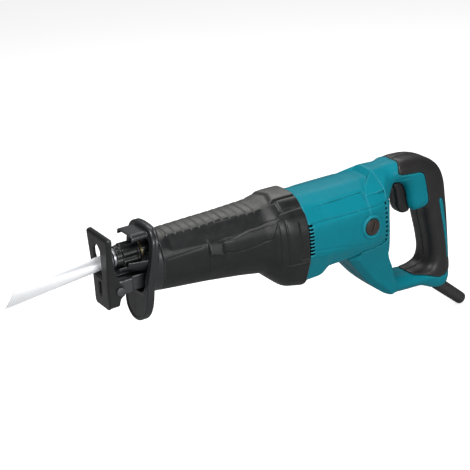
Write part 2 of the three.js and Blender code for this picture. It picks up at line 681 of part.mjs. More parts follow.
place('crank_roller',
  turned('z', ringProfile(3.8, 5.5, -16.6, -13.1, 0.4), ...CRANK_PIN, 20), BEARING_STEEL);
place('gear_bearing_upper',
  turned('z', ringProfile(6.3, 12, -41, -33.4, 0.5), CRANK_X, 0), BEARING_STEEL);
place('gear_bearing_lower',
  turned('z', ringProfile(5.2, 10, -50, -43.4, 0.5), CRANK_X, 0), BEARING_STEEL);

// ---------------------------------------------------------------- bearing box
// plate between gears and motor, with a hub for the front motor bearing
function bearingBox() {
  const plate = cut(
    loft(COVER, 165.5, 172.5, CAVITY_INSET + GAP), ...onHousingScrews(5.8, 160, 180, 16));
  return cut(
    plate.add(cylinder('x', 15, 158.5, 168, 0, MOTOR_Z, 20)),
    cylinder('x', SEAT_R, 160.2, 180, 0, MOTOR_Z, 20),
    cylinder('x', 8.6, 150, 180, 0, MOTOR_Z, 20));
}
place('bearing_box', bearingBox(), ALUMINIUM);
place('motor_bearing_front',
  turned('x', ringProfile(5.3, 12, 160.4, 170.4, 0.5), 0, MOTOR_Z), BEARING_STEEL);

// ---------------------------------------------------------------- motor
const ROTOR_BORE_R = 5.3;          // bore of the parts pressed on the armature shaft

// stepped shaft with the bevel pinion on its front end
function armatureShaft() {
  const faceStart = 0.68;
  const [rimR, rimZ] = conePoint(PINION_CONE, 1, -DEDENDUM);
  const [innerR, innerZ] = conePoint(PINION_CONE, faceStart, -DEDENDUM * faceStart);
  const profile = [
    [0, innerZ], [innerR, innerZ], [rimR, rimZ], [4.6, rimZ + 1.4], [0, rimZ + 1.4],
  ];
  // lay the pinion axis along +X, apex on the crank axis
  const pinion = transformed(
    toothedWheel(profile, 14, PINION_CONE, faceStart, PINION_TEETH),
    new THREE.Matrix4().set(0, 0, 1, CRANK_X, 0, 1, 0, 0, -1, 0, 0, MOTOR_Z, 0, 0, 0, 1));
  const shaft = join(
    cylinder('x', 5, 154, 276, 0, MOTOR_Z, 20),
    cylinder('x', 4, 275, 284.2, 0, MOTOR_Z, 20));
  return join(pinion, shaft, cylinder('x', 4.4, 150, 156, 0, MOTOR_Z, 20));
}
place('armature_shaft', armatureShaft(), STEEL);

place('armature_core', cut(
  turned('x', ringProfile(ROTOR_BORE_R, ARMATURE_R, 203, 243), 0, MOTOR_Z, 24),
  ...aroundMotor(ARMATURE_SLOTS, box(190, 260, -1.6, 1.6, MOTOR_Z + 12, MOTOR_Z + 30)),
), DARK_STEEL);

// two end windings joined by a bar in each slot
function armatureWinding() {
  const front = [[5.6, 194.5], [15, 194.5], [19.5, 198], [19.5, 202.7], [5.6, 202.7]];
  const rear = [[5.6, 243.3], [19.5, 243.3], [19.5, 247], [15, 250], [5.6, 250]];
  const bar = box(202, 244, -1.25, 1.25, MOTOR_Z + 12.5, MOTOR_Z + 19);
  return join(
    turned('x', front, 0, MOTOR_Z), turned('x', rear, 0, MOTOR_Z),
    ...aroundMotor(ARMATURE_SLOTS, bar));
}
place('armature_winding', armatureWinding(), COPPER);

// flanged cylinder with narrow slots between its bars
function commutator() {
  const profile = [
    [ROTOR_BORE_R, 252], [12, 252], [14.5, 252.4], [14.5, 254.4], [13, 254.8], [13, 270],
    [ROTOR_BORE_R, 270],
  ];
  const slot = box(253.8, 272, -0.3, 0.3, MOTOR_Z + 12, MOTOR_Z + 20);
  return cut(turned('x', profile, 0, MOTOR_Z), ...aroundMotor(ARMATURE_SLOTS, slot, 15));
}
place('commutator', commutator(), COPPER);

// hub and disc with flat radial blades on its front face
function coolingFan() {
  const profile = [
    [ROTOR_BORE_R, 176.6], [12, 176.6], [14, 184], [FAN_R, 186.4], [FAN_R, 188],
    [ROTOR_BORE_R, 188],
  ];
  const blade = box(178, 187.2, -0.7, 0.7, MOTOR_Z + 13, MOTOR_Z + FAN_R - 0.4);
  return join(turned('x', profile, 0, MOTOR_Z, 24), ...aroundMotor(FAN_BLADES, blade));
}
place('cooling_fan', coolingFan(), FAN_PLASTIC);

const BAFFLE_PROFILE = [[29, 189.6], [40.4, 189.6], [40.4, 192], [31, 192], [29, 191.2]];
place('fan_baffle', cut(
  turned('x', BAFFLE_PROFILE, 0, MOTOR_Z, 20), ...onHousingScrews(5.7, 188, 194, 12)), BLACK);

place('stator_core', cut(
  turned('x', ringProfile(ARMATURE_R + 0.9, STATOR_R, 200.5, 244.5), 0, MOTOR_Z, 32),
  ...[13, 133, 193, 313].map((start) => sector(24.4, 35.4, start, start + 34, 190, 260)),
), DARK_STEEL);

// two legs along the core and an arc over each of its ends
function fieldCoil(turn) {
  const part = (start, end, x0, x1) => sector(25, 34.8, start + turn, end + turn, x0, x1);
  return join(
    part(15, 45, 193.6, 251.4), part(135, 165, 193.6, 251.4),
    part(15, 165, 193.4, 199.8), part(15, 165, 245.2, 251.6));
}
place('field_coil_upper', fieldCoil(0), COPPER);
place('field_coil_lower', fieldCoil(180), COPPER);
place('motor_bearing_rear',
  turned('x', ringProfile(4.3, 11, 276, 283, 0.5), 0, MOTOR_Z), BEARING_STEEL);

// ---------------------------------------------------------------- brushes
// box centred on the brush axis, over a span across Y
const brushBox = (halfX, halfZ, span) => box(
  BRUSH_X - halfX, BRUSH_X + halfX, ...span, MOTOR_Z - halfZ, MOTOR_Z + halfZ);

// round screw cap with a turned driver slot
function brushCap(side) {
  const slot = transformed(
    box(-6.6, 6.6, ...sideSpan(side, 45.4, 50), -0.9, 0.9),
    new THREE.Matrix4().makeRotationY(0.35).setPosition(BRUSH_X, 0, CAP_Z));
  return cut(join(
    cylinder('y', 7.4, ...sideSpan(side, 37.2, 44), BRUSH_X, CAP_Z),
    cylinder('y', 9.3, ...sideSpan(side, 43.6, 47), BRUSH_X, CAP_Z)), slot);
}

for (const [name, side] of [['left', -1], ['right', 1]]) {
  place(`brush_holder_${name}`, cut(
    brushBox(4.4, 6.4, sideSpan(side, 15, 36.6)),
    brushBox(3.3, 5.2, sideSpan(side, 10, 45))), BRASS);
  place(`carbon_brush_${name}`, brushBox(3, 4.9, sideSpan(side, 13.5, 29)), CARBON);
  place(`brush_cap_${name}`, brushCap(side), CAP_PLASTIC);
}

// ---------------------------------------------------------------- motor housing
function motorHousing() {
  const bossEnd = 199;
  let housing = cut(
    loft(MOTOR, JOINT_X, HANDLE_X), loft(MOTOR, JOINT_X - 1, 279, SHELL_WALL, 24));
  // hub for the rear bearing and bosses for the brush caps
  housing = join(housing,
    cylinder('x', 14.5, 274.5, HANDLE_X, 0, MOTOR_Z),
    ...[-1, 1].map((side) => cylinder('y', 12, ...sideSpan(side, 38, 44.8), BRUSH_X, CAP_Z)));
  // screw bosses; the lower two are tied to the side walls
  const inside = loft(MOTOR, JOINT_X, 280, 1, 24);
  for (const [y, z] of HOUSING_SCREWS) {
    housing = housing.add(cylinder('x', 5.2, JOINT_X, bossEnd, y, z, 12).intersect(inside));
    if (z < -40) {
      const span = sideSpan(Math.sign(y), Math.abs(y), 44);
      housing = housing.add(box(JOINT_X, bossEnd, ...span, z - 3, z + 2).intersect(inside));
    }
  }
  housing = cut(housing,
    cylinder('x', 11.3, 270, 283.3, 0, MOTOR_Z),          // rear bearing seat
    cylinder('x', 6, 270, 290, 0, MOTOR_Z, 16),           // shaft passage
    cylinder('y', 7.7, -60, 60, BRUSH_X, CAP_Z),          // brush cap threads
    cylinder('y', 9.8, -60, -43.3, BRUSH_X, CAP_Z),       // brush cap heads
    cylinder('y', 9.8, 43.3, 60, BRUSH_X, CAP_Z),
    ...onHousingScrews(2.2, JOINT_X - 1, 194.5, 8));
  // air intake slots at the rear, kept clear of the bearing hub
  const hub = cylinder('x', 16.5, 270, 295, 0, MOTOR_Z);
  for (let i = 0; i < 5; i++) {
    const z = -10 - 9.5 * i;
    housing = cut(housing, box(277.5, 290, -60, 60, z - 2.6, z + 2.6).subtract(hub));
  }
  // air outlet slots in both sides by the fan
  for (let i = 0; i < 5; i++) {
    const z = -9 - 9 * i;
    housing = cut(housing,
      box(180.5, 187.5, -60, -34, z - 1.6, z + 1.6),
      box(180.5, 187.5, 34, 60, z - 1.6, z + 1.6));
  }
  return housing;
}
place('motor_housing', motorHousing(), TEAL);

// ---------------------------------------------------------------- handle
// slice of the handle's surroundings between two stations
const handleSlice = (x0, x1) => box(x0, x1, -60, 60, -170, 40);

// front block: crowned above the motor axis, straight sides below it
function crownedFront(depth) {
  const steps = 14;
  return skinned(PLAN.map(([x, width]) => {
    const top = x < HANDLE_X ? 17.2 : 17.2 + Math.min(5.4, (x - HANDLE_X) * 0.27);
    const halfWidth = width - depth;
    const height = top - depth - MOTOR_Z;
    const ring = [];
    for (let i = 0; i <= steps; i++) {
      const angle = Math.PI * i / steps;
      ring.push(new THREE.Vector3(
        x,
        halfWidth * squared(Math.cos(angle), 2.6),
        MOTOR_Z + height * squared(Math.sin(angle), 2.6)));
    }
    ring.push(new THREE.Vector3(x, -halfWidth, -170), new THREE.Vector3(x, halfWidth, -170));
    return ring;
  }));
}

// outline with an opening, given half width across Y and edges rounded by radius
function roundedLoop(outline, hole, halfWidth, radius) {
  const near = 0.3 * radius;
  // y, inset at that y
  const steps = [
    [-halfWidth, radius], [-halfWidth + near, near], [-halfWidth + radius, 0],
    [halfWidth - radius, 0], [halfWidth - near, near], [halfWidth, radius],
  ];
  const body = (points, sign) => skinned(steps.map(([y, distance]) => (
    inset(points, sign * distance).map(([x, z]) => new THREE.Vector3(x, y, z)))));
  return body(outline, 1).subtract(body(hole, -1));
}

// solid handle, shrunk evenly by depth
function handleBody(depth) {
  const outline = inset(HANDLE, depth);
  const hole = inset(OPENING, -depth);
  const loopHalf = LOOP_HALF_W - depth;
  const wide = plateXZ(outline, -50, 50, [hole]);
  const chin = mirrored(CHIN.map(([z, width]) => [width - depth, z]));
  const front = wide
    .intersect(crownedFront(depth))
    .intersect(plateYZ(chin, 230, 420))
    .intersect(handleSlice(200, 318));
  // behind x = 306 the front block is no wider than the loop
  const slim = plateXZ(outline, -loopHalf, loopHalf, [hole]).intersect(handleSlice(290, 318));
  const loop = roundedLoop(outline, hole, loopHalf, Math.max(3, 8 - depth))
    .intersect(handleSlice(301, 420));
  return front.intersect(join(wide.intersect(handleSlice(200, 306)), slim)).add(loop);
}

// the cord leaves the lower rear corner of the handle, rearwards and down
const cordAim = new THREE.Matrix4()
  .makeRotationFromQuaternion(new THREE.Quaternion().setFromUnitVectors(
    new THREE.Vector3(0, 1, 0), new THREE.Vector3(39, 0, -33).normalize()))
  .setPosition(384, 0, -148);
const alongCord = (radius, from, to) => transformed(
  cylinder('y', radius, from, to, 0, 0, 12), cordAim);

// pilot hole on the left, clearance hole and head recess on the right
const withScrewHoles = (shape) => cut(shape, ...HANDLE_SCREWS.flatMap(([x, z]) => [
  cylinder('y', 1.75, -13, 0.5, x, z, 8),
  cylinder('y', 2, 0, 30, x, z, 8),
  cylinder('y', 4.2, 11.5, 40, x, z, 10),
]));

const handleSolid = handleBody(0);

function handleShell() {
  const motorEnvelope = loft(MOTOR, 209, HANDLE_X, -0.5, 24);
  const hollow = handleBody(SHELL_WALL)
    .intersect(handleSlice(HANDLE_X - 60, 420))
    .subtract(loft(MOTOR, 236, HANDLE_X, -3.4, 24));
  let shell = cut(handleSolid, motorEnvelope, hollow,
    box(280, 289, -30, 30, -60, 6),                       // opening towards the motor
    box(312, 347.8, -10.4, 10.4, -46.5, -1.2),            // trigger window
    box(340, 350, -7.4, 7.4, -30, -14));                  // passage behind the trigger
  // screw posts join the two halves across the hollow
  const posts = HANDLE_SCREWS.map(([x, z]) => cylinder('y', 4.4, -24, 24, x, z, 10));
  shell = shell.add(join(...posts).intersect(handleBody(0.8)));
  // recess for the soft grip
  const recess = cut(handleBody(-0.5), handleBody(2)).intersect(
    plateXZ(inset(GRIP_ZONE, -0.35), -60, 60).intersect(box(305.7, 440, -60, 60, -134.4, 60)));
  // cord outlet: bore, groove for the guard's flange, outer counterbore
  return withScrewHoles(cut(shell, recess,
    alongCord(6.6, -22, 30), alongCord(8.2, -12.6, -5.4), alongCord(7.8, 3.8, 40)));
}

// soft skin over the rear of the handle
function grip() {
  const zone = plateXZ(GRIP_ZONE, -60, 60).intersect(box(306, 440, -60, 60, -134, 60));
  const skin = cut(handleSolid, handleBody(1.7)).intersect(zone);
  return withScrewHoles(cut(skin,
    box(312, 346, -10.9, 10.9, -46.5, -1), alongCord(9.6, -30, 40)));
}

for (const [name, whole, look] of [['handle', handleShell(), TEAL], ['grip', grip(), RUBBER]]) {
  for (const [sideName, side] of [['left', -1], ['right', 1]]) {
    const half = box(200, 450, ...sideSpan(side, 0.15, 60), -200, 60);
    place(`${name}_${sideName}`, whole.intersect(half), look);
  }
}
HANDLE_SCREWS.forEach(([x, z], i) => {
  place(`handle_screw_${i + 1}`, join(
    cylinder('y', 1.5, -12, 12, x, z, 8),
    cylinder('y', 3.7, 11.8, 14.2, x, z, 10)), STEEL);
});

// ---------------------------------------------------------------- cord
// flange inside the handle, ribbed sleeve outside: radius, distance along the cord
const GUARD_PROFILE = [
  [3.95, -11.8], [7.7, -11.8], [7.7, -6.2], [6.2, -6.2], [6.2, 4.2], [7.4, 4.2], [7.4, 14],
  [6.9, 15.2], [6.7, 19], [5.3, 19], [5.3, 21], [6.5, 21], [6.35, 26], [5.1, 26], [5.1, 28],
  [6.2, 28], [6, 33], [4.9, 33], [4.9, 35], [5.8, 35], [5.6, 42], [3.95, 42],
];
place('cord_guard', transformed(turned('y', GUARD_PROFILE, 0, 0, 14), cordAim), RUBBER);
place('power_cord', alongCord(3.6, -18, 52), RUBBER);

// ---------------------------------------------------------------- switch and cord clamp
// trigger in side view: x, z
const TRIGGER = [
  [316.4, -5], [318.5, -15], [320.5, -27], [322.5, -36], [327, -42.5], [334, -44.2],
  [339.5, -42], [340.5, -30], [339, -14], [337, -5],
];
place('trigger', join(
  plateXZ(TRIGGER, -9.4, 9.4, [], 1.8),
  box(337, 347, -5.6, 5.6, -27, -17)), GREY);
place('switch_body', cut(
  box(349.6, 371, -10.5, 10.5, -37, -7),
  box(349, 359, -6.4, 6.4, -28, -16)), SWITCH_PLASTIC);
place('cord_clamp', box(354.6, 360, -10, 10, -133.6, -130.6), BLACK);

// the group's origin lies on the working face of the shoe, below the plunger axis
saw.position.set(-SHOE_FACE_X, 0, -ORIGIN_Z);
saw.updateMatrixWorld(true);

export default saw;
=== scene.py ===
# Corded reciprocating saw with a closed D-handle.
# The blade and shoe point to -x, the handle and cord to +x; y runs across (left is -y), z is up.
# Moulded pieces are distance fields (negative inside) in the design frame: millimetres, with the
# origin on the plunger axis at the nose. ROW_OFFSET carries them into the frame of the CAD row.
import bpy
import math
import numpy as np
from functools import partial, reduce
from itertools import product
from mathutils import Matrix, Vector


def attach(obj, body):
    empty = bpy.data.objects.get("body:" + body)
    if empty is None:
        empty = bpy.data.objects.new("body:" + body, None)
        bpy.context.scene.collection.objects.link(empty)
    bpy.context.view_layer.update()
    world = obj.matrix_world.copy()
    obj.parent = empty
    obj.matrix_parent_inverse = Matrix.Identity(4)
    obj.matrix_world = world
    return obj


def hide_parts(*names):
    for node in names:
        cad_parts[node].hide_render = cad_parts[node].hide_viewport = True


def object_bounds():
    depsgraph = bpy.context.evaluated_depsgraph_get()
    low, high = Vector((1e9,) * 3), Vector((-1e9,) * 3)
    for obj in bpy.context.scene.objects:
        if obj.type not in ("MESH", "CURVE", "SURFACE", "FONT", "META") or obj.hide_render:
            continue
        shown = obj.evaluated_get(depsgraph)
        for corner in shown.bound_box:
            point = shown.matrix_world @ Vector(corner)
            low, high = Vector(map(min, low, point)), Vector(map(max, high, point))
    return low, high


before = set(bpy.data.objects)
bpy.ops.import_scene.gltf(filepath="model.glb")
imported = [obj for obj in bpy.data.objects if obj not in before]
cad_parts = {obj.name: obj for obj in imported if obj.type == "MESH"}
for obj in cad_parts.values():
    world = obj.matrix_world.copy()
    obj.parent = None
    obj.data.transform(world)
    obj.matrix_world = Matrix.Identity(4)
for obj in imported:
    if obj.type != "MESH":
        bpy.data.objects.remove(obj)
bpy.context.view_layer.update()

ROW_OFFSET = np.array([50.0, 0.0, 44.5])
MM = 0.001
f32 = np.float32
SIDES = (("left", -1), ("right", 1))

# Grid cell sizes, mm
COARSE_CELL = 0.8
FINE_CELL = 0.45
GUARD_CELL = 0.6


# ------------------------------------------------------------------ distance field tools
# The order of the float32 sums matters: it decides which grid points fall inside a piece.
def soft_max(a, b, blend):
    """Intersection with its edge rounded over the blend length."""
    overlap = np.maximum(blend - np.abs(a - b), 0.0) / blend
    return np.maximum(a, b) + overlap * overlap * (blend * 0.25)


def soft_min(a, b, blend):
    """Union with its corner filleted."""
    return -soft_max(-a, -b, blend)


def meet(*parts):
    return reduce(np.maximum, parts)


def cut(body, tool):
    return np.maximum(body, -tool)


def soft_cut(body, tool, blend):
    return soft_max(body, -tool, blend)


def slab(value, centre, half):
    return np.abs(value - centre) - half


def axis_distance(x, z, centre):
    """Distance from an axis that runs across the tool through centre (x, z)."""
    return np.hypot(x - centre[0], z - centre[1])


def rise(value, start, end):
    """Smooth step from 0 at start to 1 at end."""
    t = np.clip((value - start) / (end - start), 0.0, 1.0)
    return t * t * (3 - 2 * t)


def fall(value, start, end):
    """Smooth step from 1 at start to 0 at end."""
    return rise(-value, -end, -start)


def groove(dist, width, depth):
    """Engraved line: positive values carve into the surface."""
    return depth * np.exp(-((dist / width) ** 2) * 2.0)


def linear(value, rows):
    """Straight interpolation in a table of (position, value) rows."""
    return np.interp(value, *np.transpose(rows))


def smooth_table(rows, blur, spacing=0.5, margin=40):
    """Station table to smooth columns as functions of its first column."""
    rows = np.array(rows, float)
    stations = rows[:, 0]
    first, last = stations[0], stations[-1]
    places = np.arange(first - margin, last + margin, spacing)
    reach = int(4 * blur / spacing) + 1
    kernel = np.exp(-0.5 * (np.arange(-reach, reach + 1) * spacing / blur) ** 2)
    kernel /= kernel.sum()
    columns = []
    for column in rows.T[1:]:
        values = np.interp(places, stations, column)
        slope_in = (column[1] - column[0]) / (stations[1] - first)
        slope_out = (column[-1] - column[-2]) / (last - stations[-2])
        values = np.where(places < first, column[0] + slope_in * (places - first), values)
        values = np.where(places > last, column[-1] + slope_out * (places - last), values)
        columns.append(np.convolve(np.pad(values, reach, mode="edge"), kernel, mode="valid"))
    return lambda value: [np.interp(value, places, column).astype(f32) for column in columns]


def tube(section, y, z):
    """Near distance to a tube of superellipse section (top, bottom, half width, power)."""
    top, bottom, half_width, power = section
    middle, half_height = (top + bottom) / 2, (top - bottom) / 2
    across = np.maximum(np.abs(y) / half_width, 1e-4)
    upright = np.maximum(np.abs(z - middle) / half_height, 1e-4)
    across_part, upright_part = across ** (power - 1), upright ** (power - 1)
    rho = np.maximum((across_part * across + upright_part * upright) ** (1 / power), 1e-4)
    slope = np.hypot(across_part / half_width, upright_part / half_height) * rho ** (1 - power)
    return (rho - 1) / np.maximum(slope, 1e-5)


def width_at(section, z):
    """Half width of the section at height z."""
    top, bottom, half_width, power = section
    share = np.clip(np.abs(z - (top + bottom) / 2) / ((top - bottom) / 2), 0, 0.999)
    return half_width * (1 - share ** power) ** (1 / power)


def height_at(section, y):
    """Height of the upper side of the section at half width y."""
    top, bottom, half_width, power = section
    share = np.clip(y / half_width, 0, 0.999)
    return (top + bottom) / 2 + (top - bottom) / 2 * (1 - share ** power) ** (1 / power)


def facet(abs_y, z, upper, lower, sink):
    """Plane through two (y, z) points of the section, moved in by sink."""
    run_y, run_z = lower[0] - upper[0], lower[1] - upper[1]
    length = np.hypot(run_y, run_z)
    return ((abs_y - upper[0]) * -run_z + (z - upper[1]) * run_y) / length + sink


def spline(points, steps):
    """Closed centripetal Catmull-Rom curve through points."""
    points = np.array(points, float)
    count = len(points)
    curve = []
    for i in range(count):
        a, b, c, d = (points[(i + k) % count] for k in (-1, 0, 1, 2))
        knot_ab, knot_bc, knot_cd = (np.linalg.norm(e) ** 0.5 for e in (b - a, c - b, d - c))
        start = (c - b) / knot_bc - (c - a) / (knot_ab + knot_bc) + (b - a) / knot_ab
        end = (d - c) / knot_cd - (d - b) / (knot_bc + knot_cd) + (c - b) / knot_bc
        start, end = start * knot_bc, end * knot_bc
        for j in range(steps):
            t = j / steps
            t2, t3 = t * t, t * t * t
            curve.append((2 * t3 - 3 * t2 + 1) * b + (t3 - 2 * t2 + t) * start
                         + (-2 * t3 + 3 * t2) * c + (t3 - t2) * end)
    return np.array(curve)


def cut_corners(points, rounds):
    """Closed outline with its corners cut, which rounds them without overshoot."""
    points = np.array(points, float)
    for _ in range(rounds):
        after = np.roll(points, -1, 0)
        pair = [0.8 * points + 0.2 * after, 0.2 * points + 0.8 * after]
        points = np.stack(pair, 1).reshape(-1, 2)
    return points


def mirrored(half_outline):
    """Outline closed by its mirror image in the first coordinate."""
    return half_outline + [[-y, z] for y, z in half_outline[::-1]]


def polyline(points, u, v):
    """Distance to an open polyline in the u-v plane."""
    points = np.array(points, float)
    nearest = 1e9
    for start, end in zip(points[:-1], points[1:]):
        edge = end - start
        edge_u, edge_v = f32(edge[0]), f32(edge[1])
        du, dv = u - f32(start[0]), v - f32(start[1])
        t = np.clip((du * edge_u + dv * edge_v) / f32(edge @ edge), 0, 1)
        nearest = np.minimum(nearest, (du - t * edge_u) ** 2 + (dv - t * edge_v) ** 2)
    return np.sqrt(nearest)


def polygon(points, u, v):
    """Signed distance to a closed polygon, negative inside."""
    points = np.array(points, float)
    inside = False
    for start, end in zip(points, np.roll(points, -1, 0)):
        if start[1] != end[1]:
            straddles = (start[1] <= v) != (end[1] <= v)
            crossing = start[0] + (v - start[1]) / (end[1] - start[1]) * (end - start)[0]
            inside = inside ^ (straddles & (u < crossing))
    sign = np.where(inside, -1, 1).astype(f32)
    return sign * polyline(np.vstack([points, points[:1]]), u, v)


# ------------------------------------------------------------------ meshes
CORNERS = list(product((0, 1), repeat=3))


def sample(grid, points):
    """Trilinear value and central gradient of the grid at points in grid units."""
    counts = np.array(grid.shape)
    base = np.clip(np.floor(points).astype(int), 0, counts - 2)
    part = points - base
    value = np.zeros(len(points))
    gradient = np.zeros((len(points), 3))
    for corner in CORNERS:
        shares = [part[:, k] if corner[k] else 1 - part[:, k] for k in range(3)]
        weight = shares[0] * shares[1] * shares[2]
        node = base + corner
        value += weight * grid[tuple(node.T)]
        for axis in range(3):
            before, after = node.copy(), node.copy()
            before[:, axis] = np.maximum(node[:, axis] - 1, 0)
            after[:, axis] = np.minimum(node[:, axis] + 1, counts[axis] - 1)
            change = grid[tuple(after.T)] - grid[tuple(before.T)]
            gradient[:, axis] += weight * change / (after[:, axis] - before[:, axis])
    return value, gradient


def cell_centres(grid, solid, cells):
    """Mean of the surface crossings on the edges of each cell, in grid units."""
    total = np.zeros((len(cells), 3))
    crossings = np.zeros(len(cells))
    at_corner = {}
    for corner in CORNERS:
        node = tuple((cells + corner).T)
        at_corner[corner] = (grid[node].astype(float), solid[node])
    for axis in range(3):
        others = [k for k in range(3) if k != axis]
        for ends in product((0, 1), repeat=2):
            near = [0, 0, 0]
            near[others[0]], near[others[1]] = ends
            far = list(near)
            far[axis] = 1
            value0, solid0 = at_corner[tuple(near)]
            value1, solid1 = at_corner[tuple(far)]
            crossed = solid0 != solid1
            change = np.where(np.abs(value0 - value1) < 1e-9, 1e-9, value0 - value1)
            point = np.zeros((len(cells), 3))
            point[:, others] = ends
            point[:, axis] = np.clip(np.where(crossed, value0 / change, 0.0), 0.0, 1.0)
            total += point * crossed[:, None]
            crossings += crossed
    return cells + total / crossings[:, None]


def surface_quads(solid, cell_ids):
    """One quad around each grid edge that crosses the surface."""
    quads = []
    for axis in range(3):
        others = [k for k in range(3) if k != axis]
        count = solid.shape[axis]
        before = np.take(solid, range(0, count - 1), axis)
        after = np.take(solid, range(1, count), axis)
        edges = np.argwhere(before != after)
        starts_solid = solid[tuple(edges.T)]
        ring = []
        for shift in ((-1, -1), (0, -1), (0, 0), (-1, 0)):
            cells = edges.copy()
            cells[:, others] += shift
            ring.append(cell_ids[tuple(cells.T)])
        ring = np.stack(ring, 1)
        flip = starts_solid if axis == 1 else ~starts_solid
        ring[flip] = ring[flip][:, ::-1]
        quads.append(ring)
    return np.concatenate(quads)


def isosurface(name, field, low, high, cell):
    """Naive surface nets on a regular grid, vertices drawn onto the zero set, quads only."""
    low, high = np.array(low, float), np.array(high, float)
    counts = np.ceil((high - low) / cell).astype(int) + 1
    axes = [(low[k] + cell * np.arange(counts[k])).astype(f32) for k in range(3)]
    grid = np.asarray(field(*np.ix_(*axes)), f32)
    # the outer layer counts as empty, so the surface always closes
    solid = np.zeros(grid.shape, bool)
    solid[1:-1, 1:-1, 1:-1] = grid[1:-1, 1:-1, 1:-1] < 0
    filled = sum(solid[i:counts[0] - 1 + i, j:counts[1] - 1 + j, k:counts[2] - 1 + k].astype(int)
                 for i, j, k in CORNERS)
    active = (filled > 0) & (filled < 8)
    cells = np.argwhere(active)
    cell_ids = np.full(active.shape, -1, np.int32)
    cell_ids[active] = np.arange(len(cells), dtype=np.int32)

    rest = cell_centres(grid, solid, cells)
    points = rest.copy()
    for _ in range(3):
        value, gradient = sample(grid, points)
        steepness = np.maximum((gradient * gradient).sum(1), 1e-6)
        points = points - np.clip(value / steepness, -1.0, 1.0)[:, None] * gradient * 0.9
        points = rest + np.clip(points - rest, -0.5, 0.5)
    gradient = sample(grid, points)[1]
    normals = gradient / np.maximum(np.linalg.norm(gradient, axis=1), 1e-9)[:, None]
    places = (low + points * cell + ROW_OFFSET) * MM
    return mesh_object(name, places, surface_quads(solid, cell_ids), normals)


def mesh_object(name, places, quads, normals=None):
    mesh = bpy.data.meshes.new(name)
    mesh.vertices.add(len(places))
    mesh.vertices.foreach_set("co", np.asarray(places, f32).ravel())
    mesh.loops.add(quads.size)
    mesh.loops.foreach_set("vertex_index", quads.astype(np.int32).ravel())
    mesh.polygons.add(len(quads))
    mesh.polygons.foreach_set("loop_start", (np.arange(len(quads)) * 4).astype(np.int32))
    mesh.update(calc_edges=True)
    mesh.validate(clean_customdata=False)
    mesh.polygons.foreach_set("use_smooth", np.ones(len(mesh.polygons), bool))
    if normals is not None:
        mesh.normals_split_custom_set_from_vertices([tuple(normal) for normal in normals])
    return link_object(name, mesh)


def link_object(name, data):
    item = bpy.data.objects.new(name, data)
    bpy.context.scene.collection.objects.link(item)
    return item


# ------------------------------------------------------------------ shader graphs
def srgb(red, green, blue):
    def decode(value):
        value /= 255.0
        return value / 12.92 if value <= 0.04045 else ((value + 0.055) / 1.055) ** 2.4
    return (decode(red), decode(green), decode(blue), 1.0)


def tint(colour, gain, lift=0.0):
    return tuple(min(1.0, c * gain + lift) for c in colour[:3]) + (1.0,)


class Graph:
    """Node tree of a material or world."""

    def __init__(self, owner):
        owner.use_nodes = True
        self.tree = owner.node_tree

    def feed(self, node, inputs):
        """Link or set the inputs of a node, by socket name or number."""
        for socket, value in inputs.items():
            if isinstance(value, bpy.types.NodeSocket):
                self.tree.links.new(value, node.inputs[socket])
            else:
                node.inputs[socket].default_value = value

    def add(self, kind, inputs={}, **settings):
        node = self.tree.nodes.new("ShaderNode" + kind)
        for setting, value in settings.items():
            setattr(node, setting, value)
        self.feed(node, inputs)
        return node

    def ramp(self, value, start, end, low=0.0, high=1.0):
        """Clamped map of start..end to low..high."""
        return self.add("MapRange", {"From Min": start, "From Max": end, "To Min": low,
                                     "To Max": high, "Value": value}).outputs["Result"]


class Surface(Graph):
    """Material with one principled shader and object coordinates."""

    def __init__(self, name):
        self.material = bpy.data.materials.new(name)
        super().__init__(self.material)
        self.tree.nodes.clear()
        output = self.add("OutputMaterial")
        self.shader = self.add("BsdfPrincipled")
        self.feed(output, {0: self.shader.outputs[0]})
        self.place = self.add("TexCoord").outputs["Object"]

    def noise(self, scale, detail=3.0, rough=0.55, stretch=None):
        texture = self.add("TexNoise", {"Scale": scale, "Detail": detail, "Roughness": rough})
        place = self.place
        if stretch:
            place = self.add("Mapping", {"Scale": stretch, "Vector": place}).outputs[0]
        self.feed(texture, {"Vector": place})
        return texture.outputs["Fac"]

    def math(self, operation, a, b):
        return self.add("Math", {0: a, 1: b}, operation=operation).outputs[0]

    def mix(self, factor, a, b):
        return self.add("Mix", {0: factor, 6: a, 7: b}, data_type="RGBA").outputs[2]

    def edges(self, mesh_wear):
        """Edge mask for wear, and for painted edge highlights on the cover and guard: pointiness
        on fine meshes, bevel comparison on faceted ones.
        """
        geometry = self.add("NewGeometry")
        if mesh_wear:
            return self.ramp(geometry.outputs["Pointiness"], start=0.515, end=0.56)
        bevel = self.add("Bevel", {"Radius": 0.0007}, samples=4)
        match = self.add("VectorMath", {0: bevel.outputs[0], 1: geometry.outputs["Normal"]},
                         operation="DOT_PRODUCT")
        return self.ramp(match.outputs["Value"], start=0.995, end=0.90)

    def bump(self, height, strength, distance, under=None):
        inputs = {"Strength": strength, "Distance": distance, "Height": height}
        if under is not None:
            inputs["Normal"] = under
        return self.add("Bump", inputs).outputs[0]


